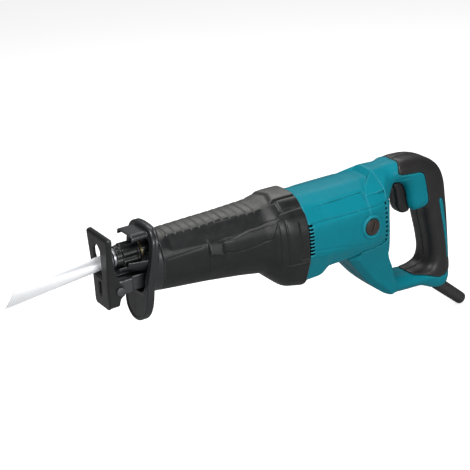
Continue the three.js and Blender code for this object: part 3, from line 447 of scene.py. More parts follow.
def plastic(name, colour, rough, grain=2600.0, grain_strength=0.12, variation=0.14, wear=0.35,
            worn=None, specular=0.5, coat=0.0, mesh_wear=True, dust=0.0, top_light_paint=0.0):
    """Mottled plastic with pale worn edges, which on the cover and guard also serve as painted
    edge highlights; grain is the noise scale of the fine bump.
    """
    s = Surface(name)
    mottle = s.ramp(s.noise(scale=34.0, detail=4.0, rough=0.6), start=0.3, end=0.7)
    base = s.mix(mottle, tint(colour, 1 - variation), tint(colour, 1 + variation))
    if dust > 0:
        specks = s.noise(scale=210.0, detail=5.0, rough=0.7)
        base = s.mix(s.ramp(specks, start=0.52, end=0.75, high=dust), base,
                     tint(colour, 0.75, lift=0.06))
    if top_light_paint > 0:
        # painted light: faces that look up are lightened towards pale grey in patches, standing
        # in for the key light falling on them from above
        geometry = s.add("NewGeometry")
        normal = s.add("SeparateXYZ", {0: geometry.outputs["Normal"]})
        facing_up = s.ramp(normal.outputs["Z"], start=0.80, end=0.95)
        patches = s.noise(scale=130.0, detail=4.0, rough=0.6)
        painted_top_light = s.math("MULTIPLY", facing_up, s.ramp(patches, start=0.25, end=0.7, low=0.7))
        base = s.mix(s.math("MULTIPLY", painted_top_light, top_light_paint), base, srgb(94, 94, 90))
    edge_mask = s.edges(mesh_wear)
    broken = s.ramp(s.noise(scale=420.0), start=0.35, end=0.62, low=0.35)
    edges = s.math("MULTIPLY", edge_mask, broken)
    base = s.mix(s.math("MULTIPLY", edges, wear), base, worn or tint(colour, 1.9, lift=0.03))
    gloss = s.ramp(s.noise(scale=90.0, detail=4.0, rough=0.6), start=0.3, end=0.7,
                   low=rough - 0.05, high=rough + 0.07)
    gloss = s.math("SUBTRACT", gloss, s.math("MULTIPLY", edges, 0.08))
    fine = s.noise(scale=grain, detail=2.0, rough=0.5)
    relief = s.bump(fine, strength=grain_strength, distance=0.00012)
    waves = s.noise(scale=150.0, detail=2.0, rough=0.5)
    relief = s.bump(waves, strength=0.05, distance=0.0004, under=relief)
    s.feed(s.shader, {"Base Color": base, "Roughness": gloss, "Specular IOR Level": specular,
                      "Coat Weight": coat, "Coat Roughness": 0.18, "Normal": relief})
    return s.material


def metal(name, colour, rough, variation=0.12, wear=0.4, brush=None, mesh_wear=False,
          metallic=1.0, pits=0.0):
    """Metal with bright worn edges; brush stretches the fine noise, pits adds a second bump."""
    s = Surface(name)
    mottle = s.ramp(s.noise(scale=70.0, detail=5.0, rough=0.65), start=0.3, end=0.7)
    base = s.mix(mottle, tint(colour, 1 - variation), tint(colour, 1 + variation))
    edges = s.math("MULTIPLY", s.edges(mesh_wear), wear)
    base = s.mix(edges, base, tint(colour, 1.35, lift=0.08))
    fine = s.noise(scale=900.0, rough=0.6, stretch=brush)
    gloss = s.ramp(fine, start=0.3, end=0.7, low=rough - 0.06, high=rough + 0.1)
    relief = s.bump(fine, strength=0.10 + pits, distance=0.00006)
    if pits:
        pitting = s.noise(scale=1500.0, detail=4.0, rough=0.7)
        relief = s.bump(pitting, strength=pits, distance=0.0002, under=relief)
    s.feed(s.shader, {"Base Color": base, "Metallic": metallic, "Roughness": gloss,
                      "Normal": relief})
    return s.material


# ------------------------------------------------------------------ materials
TEAL = plastic("teal_nylon", srgb(13, 131, 147), rough=0.42, grain=2200, grain_strength=0.10,
               variation=0.05, wear=0.4, worn=srgb(92, 190, 202), specular=0.12)
# The cover's top_light_paint paints light onto its up-facing ribs, so they read paler than the
# flanks.
COVER_MAT = plastic("black_cover_elastomer", srgb(24, 25, 26), rough=0.40, grain=1900,
                    grain_strength=0.22, variation=0.12, wear=0.8, worn=srgb(92, 93, 94),
                    dust=0.12, specular=0.42, top_light_paint=0.75)
# The raised edge wear of the cover above and of this guard is partly worn edges, partly painted
# highlights that mark the facet edges.
GUARD_MAT = plastic("black_guard_nylon", srgb(34, 36, 38), rough=0.34, grain=2400,
                    variation=0.10, wear=0.5, worn=srgb(105, 108, 110), coat=0.15)
GRIP_MAT = plastic("grip_overmould", srgb(35, 33, 33), rough=0.42, grain=1500,
                   grain_strength=0.30, variation=0.12, worn=srgb(92, 90, 90), dust=0.12)
TRIGGER_MAT = plastic("trigger_nylon", srgb(29, 29, 30), rough=0.38, grain=2300,
                      variation=0.10, wear=0.4)
SLEEVE_MAT = plastic("clamp_sleeve_nylon", srgb(19, 20, 21), rough=0.30, grain=2300,
                     variation=0.10, wear=0.55, worn=srgb(86, 90, 92), coat=0.1)
CAP_MAT = plastic("brush_cap_bakelite", srgb(52, 43, 38), rough=0.42, grain_strength=0.15,
                  variation=0.16, wear=0.5, worn=srgb(110, 96, 84))
SHOE_MAT = plastic("shoe_black_paint", srgb(23, 24, 25), rough=0.36, grain=1700,
                   grain_strength=0.18, variation=0.12, wear=0.55, worn=srgb(120, 124, 126),
                   coat=0.1)
RUBBER_MAT = plastic("cord_rubber", srgb(46, 45, 46), rough=0.55, grain=1500,
                     grain_strength=0.3, variation=0.12, wear=0.3)
DARK_CAD = plastic("dark_plastic_cad", srgb(44, 45, 47), rough=0.45, mesh_wear=False, wear=0.4)
CARBON = plastic("pressed_carbon", srgb(34, 34, 36), rough=0.7, grain=3000,
                 grain_strength=0.4, mesh_wear=False)
BLADE = metal("ground_blade_steel", (0.93, 0.95, 0.98), rough=0.36, variation=0.03, wear=0.2,
              brush=(3.0, 60.0, 60.0), metallic=0.35)
BRIGHT = metal("ground_steel", (0.62, 0.63, 0.65), rough=0.22, brush=(4.0, 40.0, 40.0))
DARKSTEEL = metal("black_oxide_steel", (0.060, 0.063, 0.068), rough=0.42, wear=0.9,
                  metallic=0.75, pits=0.1)
BAR_MAT = metal("bar_zinc_black", (0.10, 0.105, 0.112), rough=0.34, wear=1.0, metallic=0.8,
                pits=0.06, mesh_wear=True)
PIN_MAT = metal("pin_steel", (0.115, 0.12, 0.125), rough=0.42, wear=0.6, metallic=0.8)
ALU = metal("cast_aluminium", (0.46, 0.47, 0.49), rough=0.5, pits=0.25)
RING_MAT = metal("ring_brass_dull", (0.27, 0.23, 0.13), rough=0.38, pits=0.05)
COLLAR_MAT = metal("collar_steel_dull", (0.36, 0.37, 0.39), rough=0.34, wear=0.5, pits=0.05)
BRONZE = metal("sintered_bronze", (0.45, 0.29, 0.11), rough=0.36, pits=0.1)
COPPER = metal("varnished_copper", (0.48, 0.19, 0.08), rough=0.34, brush=(60.0, 4.0, 60.0))
LAMINATION = metal("laminated_steel", (0.20, 0.205, 0.21), rough=0.45, brush=(140.0, 2.0, 2.0))
BEARING = metal("bearing_steel", (0.66, 0.67, 0.69), rough=0.16)


def dress(item, material):
    item.data.materials.clear()
    item.data.materials.append(material)


def put(item, body, material, node):
    """Dress a piece and let it ride on a body in place of a CAD node."""
    dress(item, material)
    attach(item, body)
    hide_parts(node)


# ------------------------------------------------------------------ front grip cover
# x, top z, bottom z, half width, superellipse power
COVER = [
    [7, 16.2, -46.5, 27.5, 2.3], [64, 16.6, -51.5, 31, 2.4], [104, 16.8, -56, 34.5, 2.5],
    [132, 17.2, -60.5, 36.5, 2.6], [144, 20, -71.5, 42, 2.6], [158, 21, -83.5, 45, 2.6],
    [178, 20.5, -87.5, 47, 2.6]]
# x, half width of the rib band on the crown
RIB_BAND = [
    [0, 12.0], [16, 13.0], [28, 14.8], [40, 15.4], [55, 16.6], [70, 15.8], [85, 14.8],
    [97, 16.2], [108, 18.2], [120, 19.6], [136, 19.2], [150, 18.6], [178, 17.0]]
# x, z of the lower edge of the upper facet
FACET_FOOT = [
    [0, 3.0], [30, 1.0], [60, -1.0], [78, -2.0], [92, -2.1], [108, 1.4], [126, 2.4],
    [144, 5.0], [160, 3.0], [178, 1.0]]
# x, z outlines and lines on the side
COVER_PANEL = [
    [74, -2.6], [92, -2.1], [108, 1.2], [126, 2.2], [144, 4.9], [135, -12.5], [114.5, -16],
    [96.7, -17.2], [78, -14.4]]
PANEL_LOWER_LINE = [[80, -14.6], [96.7, -17.4], [114.5, -16.3], [132.4, -13.6], [136, -12.4]]
PANEL_UPPER_LINE = [[74, -2.0], [92, -1.5], [108, 1.9], [126, 2.9], [144.5, 5.6]]
COVER_JOINT = [[16, -6], [56, -3.4]]
RIB_START = 22.0
RIB_PITCH = 9.35
COVER_FRONT = 10.6
COVER_REAR = 177.3
COVER_WALL = 2.6
cover_at = smooth_table(COVER, 2.5)


def crown_ribs(x, z, abs_y, band_y):
    """Height of the rib band that stands on the crown."""
    phase = (x - RIB_START) / RIB_PITCH
    part = phase - np.floor(phase)
    notch = np.exp(-((np.minimum(part, 1 - part) * RIB_PITCH / 0.66) ** 2))
    rib = 0.22 * (1 - (2 * part - 1) ** 6) - 0.75 * notch + 0.35 * (part - 0.5)
    band = rise(band_y - abs_y, -0.3, 0.6) * rise(z, 0, 4)
    run = rise(x, 19.5, 21) * fall(x, 133.5, 135.0)
    return band * run * (0.45 + rib)


def cover_side(skin, x, z, side):
    """Side panel, thumb pad and engraved lines; side fades the features in off the flank."""
    panel = polygon(COVER_PANEL, x, z)
    skin = skin - side * (1.5 * fall(panel, -0.8, 0.3) * rise(x, 74, 92))
    for path in (PANEL_LOWER_LINE, PANEL_UPPER_LINE):
        skin = skin + side * groove(polyline(path, x, z), width=0.8, depth=0.7)
    # thumb pad: a wedge that stands out to a ridge
    above = z - (-14.0 - 0.22 * (x - 70))
    below = np.clip(1 + above / 3.0, 0.42, 1) * rise(z, -42, -24)
    wedge = np.where(above > 0, np.clip(1 - above / 16.0, 0, 1), below)
    pad_run = rise(x, 61.6, 63.2) * fall(x, 76.0, 81.0)
    skin = skin - side * pad_run * wedge * 3.3
    joint = groove(polyline(COVER_JOINT, x, z), width=0.7, depth=0.35)
    return skin + side * joint * fall(x, 56, 62)


def cover_bell(skin, x, z, abs_y):
    """Grooves, rim and crown hump of the wide rear end."""
    flank = fall(z, -2, 6) * rise(z, -46.5, -45.0)
    rings = groove(x - 143.0, width=1.1, depth=0.8) + groove(x - 152.0, width=1.2, depth=0.9)
    skin = skin + flank * rings * rise(abs_y, 26, 32)
    skin = (skin + 0.8 * rise(x, 165.8, 167.0) * rise(abs_y, 30, 36)
            * fall(z, -6, 2) * rise(z, -46, -44))
    skin = (skin + groove(z + 46.6, width=1.0, depth=0.9)
            * rise(x, 141, 147) * rise(abs_y, 20, 30))
    # hump across the crown with a slanted front, and a lower shoulder beside it
    hump = (rise(x + 0.35 * abs_y, 149.0, 156.0)
            * rise(17.6 - abs_y, -0.5, 0.6) * rise(z, 4, 8))
    skin = skin - 2.3 * hump
    shoulder = (rise(x, 151, 153) * rise(abs_y, 18.0, 19.5)
                * rise(29.0 - abs_y, -0.6, 0.6) * rise(z, 2, 6))
    skin = skin - 1.5 * shoulder
    return (skin + groove(abs_y - 30.5, width=1.3, depth=0.7)
            * rise(x, 147, 151) * rise(z, 2, 6))


def cover_skin(x, y, z):
    section = cover_at(x)
    bottom, half_width = section[1], section[2]
    abs_y = np.abs(y)
    skin = tube(section, y, z)
    # upper facet, from the rib band down to the flank
    band_y = linear(x, RIB_BAND).astype(f32)
    foot_z = linear(x, FACET_FOOT).astype(f32)
    band = (band_y, height_at(section, band_y))
    foot = (width_at(section, foot_z), foot_z)
    middle_y = 0.5 * (band_y + foot[0])
    bulge = facet(middle_y, height_at(section, middle_y), band, foot, 0.0)
    upper = facet(abs_y, z, band, foot, -np.maximum(bulge - 1.45, 0.0))
    skin = soft_max(skin, upper - (1 - rise(x, 12, 24)) * 2.0, 0.7)
    # lower corner of the bell
    corner_z, base_z = np.maximum(-45.5, bottom + 24.0), bottom + 12.0
    low = facet(abs_y, z, (width_at(section, corner_z), corner_z),
                (width_at(section, base_z), base_z), -0.45)
    skin = soft_max(skin, low - (1 - rise(x, 136, 147)) * 5, 0.6)
    # flank of the barrel, a little flattened
    skin = soft_max(skin, abs_y - (half_width - 0.5), 1.2)
    skin = skin - crown_ribs(x, z, abs_y, band_y)
    skin = cover_side(skin, x, z, rise(abs_y, 18, 22))
    return cover_bell(skin, x, z, abs_y)


def cover_field(x, y, z):
    skin = cover_skin(x, y, z)
    body = cut(skin, meet(tube(cover_at(x), y, z) + COVER_WALL, skin + 1.5))
    body = soft_max(body, COVER_FRONT - x, 0.8)
    body = soft_max(body, x - COVER_REAR, 1.0)
    # round hole in the right side, bore at the front
    body = cut(body, meet(np.hypot(x - 19.5, z + 31.5) - 5.5, 10 - y))
    return cut(body, meet(np.hypot(y, z) - 14.5, x - 25.4))


# ------------------------------------------------------------------ motor housing
# x, top z, bottom z, half width, superellipse power
MOTOR = [
    [178, 17.5, -83.5, 46.5, 2.6], [200, 16.5, -82.5, 46.5, 2.6], [209, 16.5, -74, 46.5, 2.6],
    [250, 16.5, -73, 46.5, 2.6], [268, 16.8, -74, 45.5, 2.6], [284.3, 17.5, -76, 41.5, 2.6]]
# x, half width of the rear of the housing and of the handle
PLAN = [
    [238, 46], [268, 45.5], [284, 41.5], [292, 36], [301, 29], [312, 24], [326, 22.5],
    [360, 22], [384, 21], [410, 19.5]]
# x, half width of the ridge between the two upper facets
RIDGE = [[172, 21.0], [178, 30.5], [203, 32.8], [256, 31.6], [285, 27.0]]
# x, z of the upper edge of the lower facet, and of the line above it
LOWER_EDGE = [[172, -38.0], [202, -42.6], [229, -47.6], [258, -53.9], [280, -57.0]]
BAND_LINE = [[172, -35.4], [202, -39.9], [229, -44.2], [258, -50.4], [282, -54.5]]
# x, z outline of the sunk channel and lines of the rear seam
CHANNEL = [[195, 8.6], [256, 10.0], [258, 4.5], [257, -6.4], [194, -6.0], [186, 1.5]]
REAR_SEAMS = ([[256.6, 5.6], [256.6, -16.0]],
              [[258, -43], [258, -52], [240, -57], [226, -59]])
# x, z and half width of the tapering side groove
TAPER_Z = [[172, -8.4], [200, -8.0], [256, -7.9], [285, -7.6]]
TAPER_WIDTH = [[172, 2.6], [200, 2.2], [256, 1.1], [285, 0.9]]
MOTOR_Z = -29.0
REAR_POWER = 2.6
JOINT_X = 284.3
BRUSH = (260.0, -30.0)
# y, z of the screw bosses on each side
MOTOR_BOSSES = ((29.5, 2.5), (27.5, -61))
VENT_COUNT = 9
motor_at = smooth_table(MOTOR, 1.8)
plan_at = smooth_table(PLAN, 3.0)


def rear_section(x, y, z):
    """Shared by the rear of the motor housing and the front of the handle: high crown,
    flat shoulders."""
    abs_y = np.abs(y)
    half_width = plan_at(x)[0]
    power = REAR_POWER
    height = 22.3 - MOTOR_Z
    across = np.maximum(abs_y / half_width, 1e-4)
    upright = np.maximum((z - MOTOR_Z) / height, 1e-4)
    rho = (across ** power + upright ** power) ** (1 / power)
    slope = (np.hypot(across ** (power - 1) / half_width, upright ** (power - 1) / height)
             * rho ** (1 - power))
    crown = (rho - 1) / slope
    return soft_max(crown, abs_y * 0.566 + z * 0.825 - 24.6, 0.8)


def motor_facets(x, y, z):
    """Motor tube with its flat sides, upper panels and lower chamfers."""
    section = motor_at(x)
    bottom, half_width = section[1], section[2]
    abs_y = np.abs(y)

    def on_top(half_y):
        return half_y, height_at(section, half_y)

    def on_side(side_z):
        return width_at(section, side_z), side_z

    skin = soft_max(tube(section, y, z), abs_y - (half_width - 0.6), 1.0)
    ridge = on_top(linear(x, RIDGE).astype(f32))
    lower_edge = on_side(linear(x, LOWER_EDGE).astype(f32))
    # upper point, lower point, sink, blend
    for upper, lower, sink, blend in (
            (ridge, on_side(f32(-6.4)), 0.0, 0.6),
            (on_top(f32(11.0)), ridge, -0.55, 0.7),
            (lower_edge, on_side(bottom + 8.0), -0.9, 0.6)):
        skin = soft_max(skin, facet(abs_y, z, upper, lower, sink), blend)
    return skin


def motor_side(skin, x, z, side):
    """Channel, tapering groove and lower lines of the flank."""
    # channel under the upper panel, with a slanted front end
    channel = polygon(CHANNEL, x, z)
    floor_depth = (np.clip((x - 186) / 13.0, 0, 1)
                   * fall(z - (7.4 + 0.02 * (x - 200)), -0.5, 0.2) * rise(z, -8.0, 7.0))
    skin = skin + side * 1.25 * floor_depth * fall(channel, -0.7, 0.3)
    taper = np.abs(z - linear(x, TAPER_Z)) / linear(x, TAPER_WIDTH)
    skin = skin + side * 1.1 * np.clip(1 - taper, 0, 1)
    # band along the lower edge of the side
    band_z = linear(x, BAND_LINE)
    skin = skin + side * groove(z - band_z, width=0.8, depth=0.55)
    return skin + side * groove(z - (band_z - 5.2), width=0.8, depth=0.5) * fall(x, 254, 262)


def motor_skin(x, y, z):
    abs_y = np.abs(y)
    skin = motor_side(motor_facets(x, y, z), x, z, rise(abs_y, 18, 22))
    # the rear part rises over a wall that slants down the shoulder, behind a shallow dip
    upper = rise(z, 3.2, 4.6)
    wall_x = 276.0 - np.clip(abs_y - 13.0, 0, 23.0) * 0.85
    dip_length = np.clip(12.0 - np.clip(abs_y - 10.0, 0, 24.0) * 0.46, 0.8, 12.0)
    dip = np.clip(1 - (wall_x - x) / dip_length, 0, 1)
    skin = skin + 1.1 * dip * upper
    climb = (np.clip((x - wall_x) / (1.2 + np.clip(24.0 - abs_y, 0, 11) * 0.48), 0, 1)
             * upper)
    skin = skin * (1 - climb) + rear_section(x, y, z) * climb
    skin = skin - rise(x, 256.6, 257.6) * (1 - upper) * rise(z, -53.5, -52.5)
    seam = np.minimum(*[polyline(path, x, z) for path in REAR_SEAMS])
    skin = skin + groove(seam, width=0.8, depth=0.9) * rise(abs_y, 8, 16)
    # brush cap collar
    radius = axis_distance(x, z, BRUSH)
    collar = meet(radius - 13.2, abs_y - (motor_at(x)[2] + 0.9))
    skin = soft_min(skin, collar, 0.7)
    skin = skin + groove(radius - 14.3, width=0.9, depth=0.8) * rise(abs_y, 30, 36)
    return skin + groove(radius - 10.4, width=0.8, depth=0.6) * rise(abs_y, 30, 36)


def motor_field(x, y, z):
    skin = motor_skin(x, y, z)
    core = meet(tube(motor_at(x), y, z) + 3.0, skin + 1.7)
    body = cut(skin, meet(core, x - 279))
    abs_y = np.abs(y)
    shaft_radius = np.hypot(y, z - MOTOR_Z)
    brush_radius = axis_distance(x, z, BRUSH)
    # rear bearing seat, brush bosses and screw bosses
    body = np.minimum(body, meet(shaft_radius - 14.5, 274.5 - x, x - JOINT_X))
    body = np.minimum(body, meet(brush_radius - 12, 38 - abs_y, abs_y - 44.8))
    for boss_y, boss_z in MOTOR_BOSSES:
        boss_radius = np.hypot(abs_y - boss_y, z - boss_z)
        body = np.minimum(body, meet(boss_radius - 5.2, 178 - x, x - 199))
    # bearing bore, shaft hole, brush bore and its countersink
    body = cut(body, meet(shaft_radius - 11.3, 270 - x, x - 283.3))
    body = cut(body, meet(shaft_radius - 6, 270 - x))
    body = cut(body, brush_radius - 7.7)
    body = soft_cut(body, meet(brush_radius - 9.8, 43.4 - abs_y), 0.6)
    body = soft_max(body, 178.1 - x, 0.8)
    body = meet(body, x - 284.1)
    # slots at the front joint, then at the rear edge:
    # first z, pitch, half height, x limit, y limit, blend
    for first_z, pitch, half_height, x_limit, y_limit, blend in (
            (-9.0, 3.95, 1.25, x - 183.4, 32 - abs_y, 0.3),
            (-9.5, 5.4, 1.55, 280.4 - x, 30 - abs_y, 0.5)):
        for i in range(VENT_COUNT):
            slot = meet(slab(z, first_z - pitch * i, half_height), x_limit, y_limit)
            body = soft_cut(body, slot, blend)
    return body


# ------------------------------------------------------------------ handle and its overmould
# x, z outlines of the handle, of its finger opening, of the overmould and of the teal strip
HANDLE = spline([
    [284.0, 22.1], [290, 22.4], [297, 22.7], [306, 22.9], [320, 22.9], [334, 22.8],
    [347, 21.6], [359, 18.4], [369.5, 13.2], [379, 3.6], [385.2, -11.5], [388, -34],
    [390.3, -58], [392.7, -90], [394, -120], [393.2, -137], [389, -145.5], [380, -149],
    [371, -148], [361, -143.5], [351, -139.5], [340, -138.5], [320, -137.5], [308, -136],
    [298, -132.5], [287, -124], [272, -110], [257, -92], [245, -77], [240, -70], [250, -60],
    [268, -56], [284.4, -54]], 5)
OPENING = spline([
    [295, -6], [304, -2], [320, -2.5], [328, -7], [332.5, -17], [335.5, -34], [340, -41],
    [355, -43], [359.5, -60], [365.5, -88], [367, -104], [364, -114], [356, -118.5],
    [342, -119.5], [320, -118], [311, -111], [301, -94], [295, -82], [291.5, -68],
    [290.5, -58], [291.5, -44], [291.5, -22]], 5)
GRIP_ZONE = cut_corners([
    [325, 60], [324, 25], [321.5, 22.8], [317.8, 20], [315.2, 15], [315.6, 10.6], [320, 8.6],
    [334, 7.4], [346, 6.6], [351.5, 3], [354.5, -10], [357.5, -28], [357.5, -35], [345, -46],
    [340, -80], [337, -104], [333, -113], [338, -121.5], [352, -124], [364, -128],
    [374, -132.4], [383, -131], [388, -128.5], [420, -126], [440, 60]], 3)
ACCENT = spline([
    [374.5, -33], [378.3, -33], [383.5, -55], [387, -74], [389, -93], [389.5, -113],
    [387, -110], [384.5, -93], [381, -72], [377, -52]], 4)
# z, half width of the block below the motor
CHIN = [
    [-160, 22.5], [-118, 23.5], [-100, 26.5], [-86, 30], [-76, 33], [-66, 36], [-58, 39.5],
    [-52, 42.5], [-40, 46], [30, 48]]
# x, z creases on the front of the lower arm and of the block
ARM_CREASE = [[262, -54], [285, -60], [296, -84], [312, -113], [330, -121]]
BLOCK_CREASE = [[284.4, -8], [292, -9], [300, -4], [312, 2], [330, 3.5]]
HANDLE_SCREWS = [[304, 8], [361, 5.5], [364, -128], [322, -128], [290, -105]]
GRIP_BOTTOM = -134.2
SEAM_GAP = 0.15
WINDOW_CENTRE = (329.9, -23.9)
FLUTE_PITCH = 4.2
CORD_RUN, CORD_DROP = 39, 33
CORD_START = np.array([384.0, 0.0, -148.0])
CORD_AXIS = np.array([CORD_RUN, 0.0, -CORD_DROP]) / math.hypot(CORD_RUN, CORD_DROP)
chin_at = smooth_table(CHIN, 3.0)


def handle_skin(x, y, z):
    outline = polygon(HANDLE, x, z)
    flat = cut(outline, polygon(OPENING, x, z))
    abs_y = np.abs(y)
    chin = abs_y - chin_at(z)[0]
    front = soft_max(soft_max(flat, rear_section(x, y, z), 2.0), chin, 2.5)
    # slanted underside edge of the chin
    chamfer = (outline + chin) * 0.7071 + 4.6
    chamfer = chamfer - (1 - fall(z, -66, -58)) * 6 - rise(x, 296, 312) * 6
    front = soft_max(front, chamfer, 0.8)
    loop = soft_max(flat, abs_y - 22.5 + 0.35 * rise(x, 350, 380) * 3, 15.0)
    weight = rise(x, 298, 316)
    return front * (1 - weight) + loop * weight


def overmould_zone(x, z):
    zone = meet(polygon(GRIP_ZONE, x, z), GRIP_BOTTOM - z)
    return cut(zone, polygon(ACCENT, x, z))


def trigger_window(x, abs_y, z, half_width, half_height):
    window = soft_max(abs_y - half_width, slab(x, WINDOW_CENTRE[0], 17.9), 1.0)
    return soft_max(window, slab(z, WINDOW_CENTRE[1], half_height), 1.0)


def finish_half(body, x, y, z, side, bore):
    """Cord bore, screw holes, rounded seam and the split along the middle."""
    from_x, from_z = x - CORD_START[0], z - CORD_START[2]
    along = from_x * CORD_AXIS[0] + from_z * CORD_AXIS[2]
    radius = np.sqrt((from_x * CORD_AXIS[2] - from_z * CORD_AXIS[0]) ** 2 + y ** 2)
    body = soft_cut(body, meet(radius - bore, 3.8 - along), 0.6)
    body = cut(body, meet(radius - 6.6, -22 - along))
    for screw in HANDLE_SCREWS:
        radius = axis_distance(x, z, screw)
        body = cut(body, meet(radius - 1.9, -13 - y))
        body = soft_cut(body, meet(radius - 4.2, 11.5 - y), 0.5)
    body = body + 0.45 * np.exp(-((y / 0.75) ** 2))
    return meet(body, SEAM_GAP - side * y)


def handle_field(x, y, z, side):
    skin = handle_skin(x, y, z)
    abs_y = np.abs(y)
    zone = overmould_zone(x, z)
    body = skin + groove(zone, width=0.9, depth=0.7) * rise(x, 300, 306)
    arm_crease = groove(polyline(ARM_CREASE, x, z), width=1.6, depth=0.9)
    body = body + arm_crease * rise(abs_y, 14, 20) * 0.8
    block_crease = groove(polyline(BLOCK_CREASE, x, z), width=1.6, depth=0.9)
    body = body + block_crease * rise(abs_y, 10, 16)
    # room for the motor housing, hollow inside, opening towards the motor
    motor = motor_facets(x, y, z)
    body = cut(body, meet(motor - 0.25, x - JOINT_X))
    body = cut(body, meet(-z - 4, x - 284.25))
    body = cut(body, cut(skin + 3.0, meet(motor - 3.0, x - 284.9)))
    body = cut(body, meet(280 - x, x - 289, abs_y - 30, -60 - z, z - 6))
    for screw in HANDLE_SCREWS:
        boss = meet(axis_distance(x, z, screw) - 4.6, abs_y - 24, skin + 0.9)
        body = np.minimum(body, boss)
    # recess for the overmould, trigger window
    body = cut(body, cut(zone - 0.3, skin + 2.2))
    window = trigger_window(x, abs_y, z, half_width=10.4, half_height=22.6)
    return finish_half(soft_cut(body, window, 0.8), x, y, z, side, bore=7.8)


def grip_field(x, y, z, side):
    skin = handle_skin(x, y, z)
    zone = overmould_zone(x, z)
    # slight swell over the shell, soft flutes on the rear arm
    swell = 0.35 * fall(zone, -5.0, 0.0)
    body = soft_max(skin - swell, zone + 0.25, 1.6)
    flute = (0.22 * np.sin(2 * np.pi * y / FLUTE_PITCH) * rise(x, 352, 360)
             * fall(z, -52, -44) * rise(z, -118, -108) * fall(polygon(OPENING, x, z), 1, 6))
    body = body + np.abs(flute)
    body = cut(body, skin + 1.9)
    window = trigger_window(x, np.abs(y), z, half_width=10.9, half_height=22.8)
    return finish_half(soft_cut(body, window, 0.8), x, y, z, side, bore=9.2)


# ------------------------------------------------------------------ nose guard
# y, z outlines of the plate and of its opening
GUARD = spline(mirrored([
    [14, 28.2], [21.5, 25], [26.8, 17], [28.6, 5], [28.2, -6], [26.2, -20], [24.6, -33],
    [25.0, -46], [24.2, -56], [20.5, -65], [13.5, -71.5], [5, -75]]), 5)
GUARD_OPENING = spline(mirrored([
    [11, 21], [17, 18.5], [21, 12], [22.4, 3], [22, -6], [20, -17], [17.6, -27], [17.2, -36],
    [14, -41], [5, -43]]), 5)
GUARD_LEAN = 0.15


def guard_field(x, y, z):
    lean_x = x - GUARD_LEAN * z
    outline, opening = polygon(GUARD, y, z), polygon(GUARD_OPENING, y, z)
    abs_y = np.abs(y)
    plate = soft_max(outline, slab(lean_x, 0.5, 4.5), 2.6)
    plate = soft_cut(plate, opening + 0.25 * np.clip(-lean_x, 0, 4), 1.0)
    # rounded bead along the outer rim, front field sunk inside it
    sunk = soft_max(soft_cut(outline + 3.6, opening - 2.0, 1.0), lean_x + 3.0, 0.8)
    plate = soft_cut(plate, sunk, 0.8)
    # the skirt folds along its middle
    fold = fall(z, -50, -40)
    face = lean_x + 4.4 - fold * (1.0 - 0.08 * abs_y) - (1 - fold) * 0.4
    plate = soft_cut(plate, face, 0.8)
    plate = plate + groove(lean_x - 1.2, width=0.9, depth=0.5) * rise(outline, -1.6, -0.6)
    # collar that runs back to the grip cover
    cover = tube(cover_at(x), y, z)
    collar = meet(cut(cover + 0.2, cover + 3.1), x - 10.1, 1.0 - lean_x)
    body = soft_min(plate, collar, 1.4)
    # visor over the clamp sleeve: flat on top, rounded down to a short flange at each side
    visor = cut(soft_max(abs_y - 16.5, z - 24.3, 5.5), soft_max(abs_y - 14.4, z - 22.1, 4.5))
    visor = soft_max(visor, meet(18.6 + 0.05 * x - z, -18.6 - x, x - 5), 0.9)
    body = soft_min(body, visor, 0.9)
    # funnel below the clamp sleeve, open underneath for the shoe bar
    radius = np.hypot(y, z)
    funnel = soft_max(slab(radius, 15.6 + 0.27 * np.maximum(x + 24, 0), 1.1),
                      meet(z + 4.0, -33.0 - x, x - 4), 0.8)
    funnel = soft_max(funnel, meet(-19.9 - z, np.minimum(abs_y - 12.4, -24.0 - x)), 0.8)
    body = soft_min(body, funnel, 0.8)
    return cut(body, meet(radius - 14.4, np.abs(x) - 20))


# ------------------------------------------------------------------ shoe
# x, z outline of the side ear
EAR = spline([
    [-50.5, -50.5], [-41.5, -50], [-38.5, -47.4], [-37.6, -43.5], [-35.5, -38.8],
    [-31.8, -36.4], [-31.0, -30], [-32.4, -25.8], [-35.8, -21.4], [-38.4, -14.5],
    [-41.8, -4], [-43.6, 8], [-44.2, 18], [-44.6, 32], [-50.5, 32]], 4)
SHOE_PIVOT = (-36.5, -30.7)
SHOE_HALF_WIDTH = 17.5
SHOE_DEPTH = 50


def shoe_field(x, y, z):
    abs_y = np.abs(y)
    width = SHOE_HALF_WIDTH + 0.125 * soft_max(z + 21.5, 0.0, 6.0)
    outer = soft_max(soft_max(abs_y - width, -50 - x, 3.4), z - 30.0, 3.4)
    inner = soft_max(soft_max(abs_y - (width - 2.5), -47.2 - x, 1.6), z - 27.3, 1.6)
    sheet = cut(outer, inner)
    sheet = soft_max(sheet, meet(polygon(EAR, x, z), -SHOE_DEPTH - z), 1.0)
    sheet = soft_max(sheet, (abs_y - z) - (SHOE_HALF_WIDTH + SHOE_DEPTH - 4.2), 1.2)
    # blade slot with an arched top and a bevelled lead, and the round-ended slot below it
    off_slot = np.abs(y - 1.8)
    slot = soft_max(meet(off_slot - 6.9, -17.4 - z, z - 18.4),
                    off_slot * 0.75 + z * 0.66 - 14.0, 1.0)
    low_slot = np.hypot(y - 1.2, np.maximum(slab(z, -29.8, 5.4), 0)) - 2.8
    bevel = 0.7 * fall(x, -50.2, -48.8)
    for opening in (slot, low_slot):
        sheet = soft_cut(sheet, meet(opening - bevel, x + 44), 0.6)
    return soft_cut(sheet, axis_distance(x, z, SHOE_PIVOT) - 3.4, 0.5)


# ------------------------------------------------------------------ shoe bar
# x, z outline of the fork
FORK = [[-22, -37], [-33, -37], [-39.5, -35], [-42, -31], [-40, -25.5], [-34, -21.6],
        [-20, -21.2], [-20, -37]]
BAR_Z = -31.5
NOTCH_START = 19.5
NOTCH_PITCH = 10


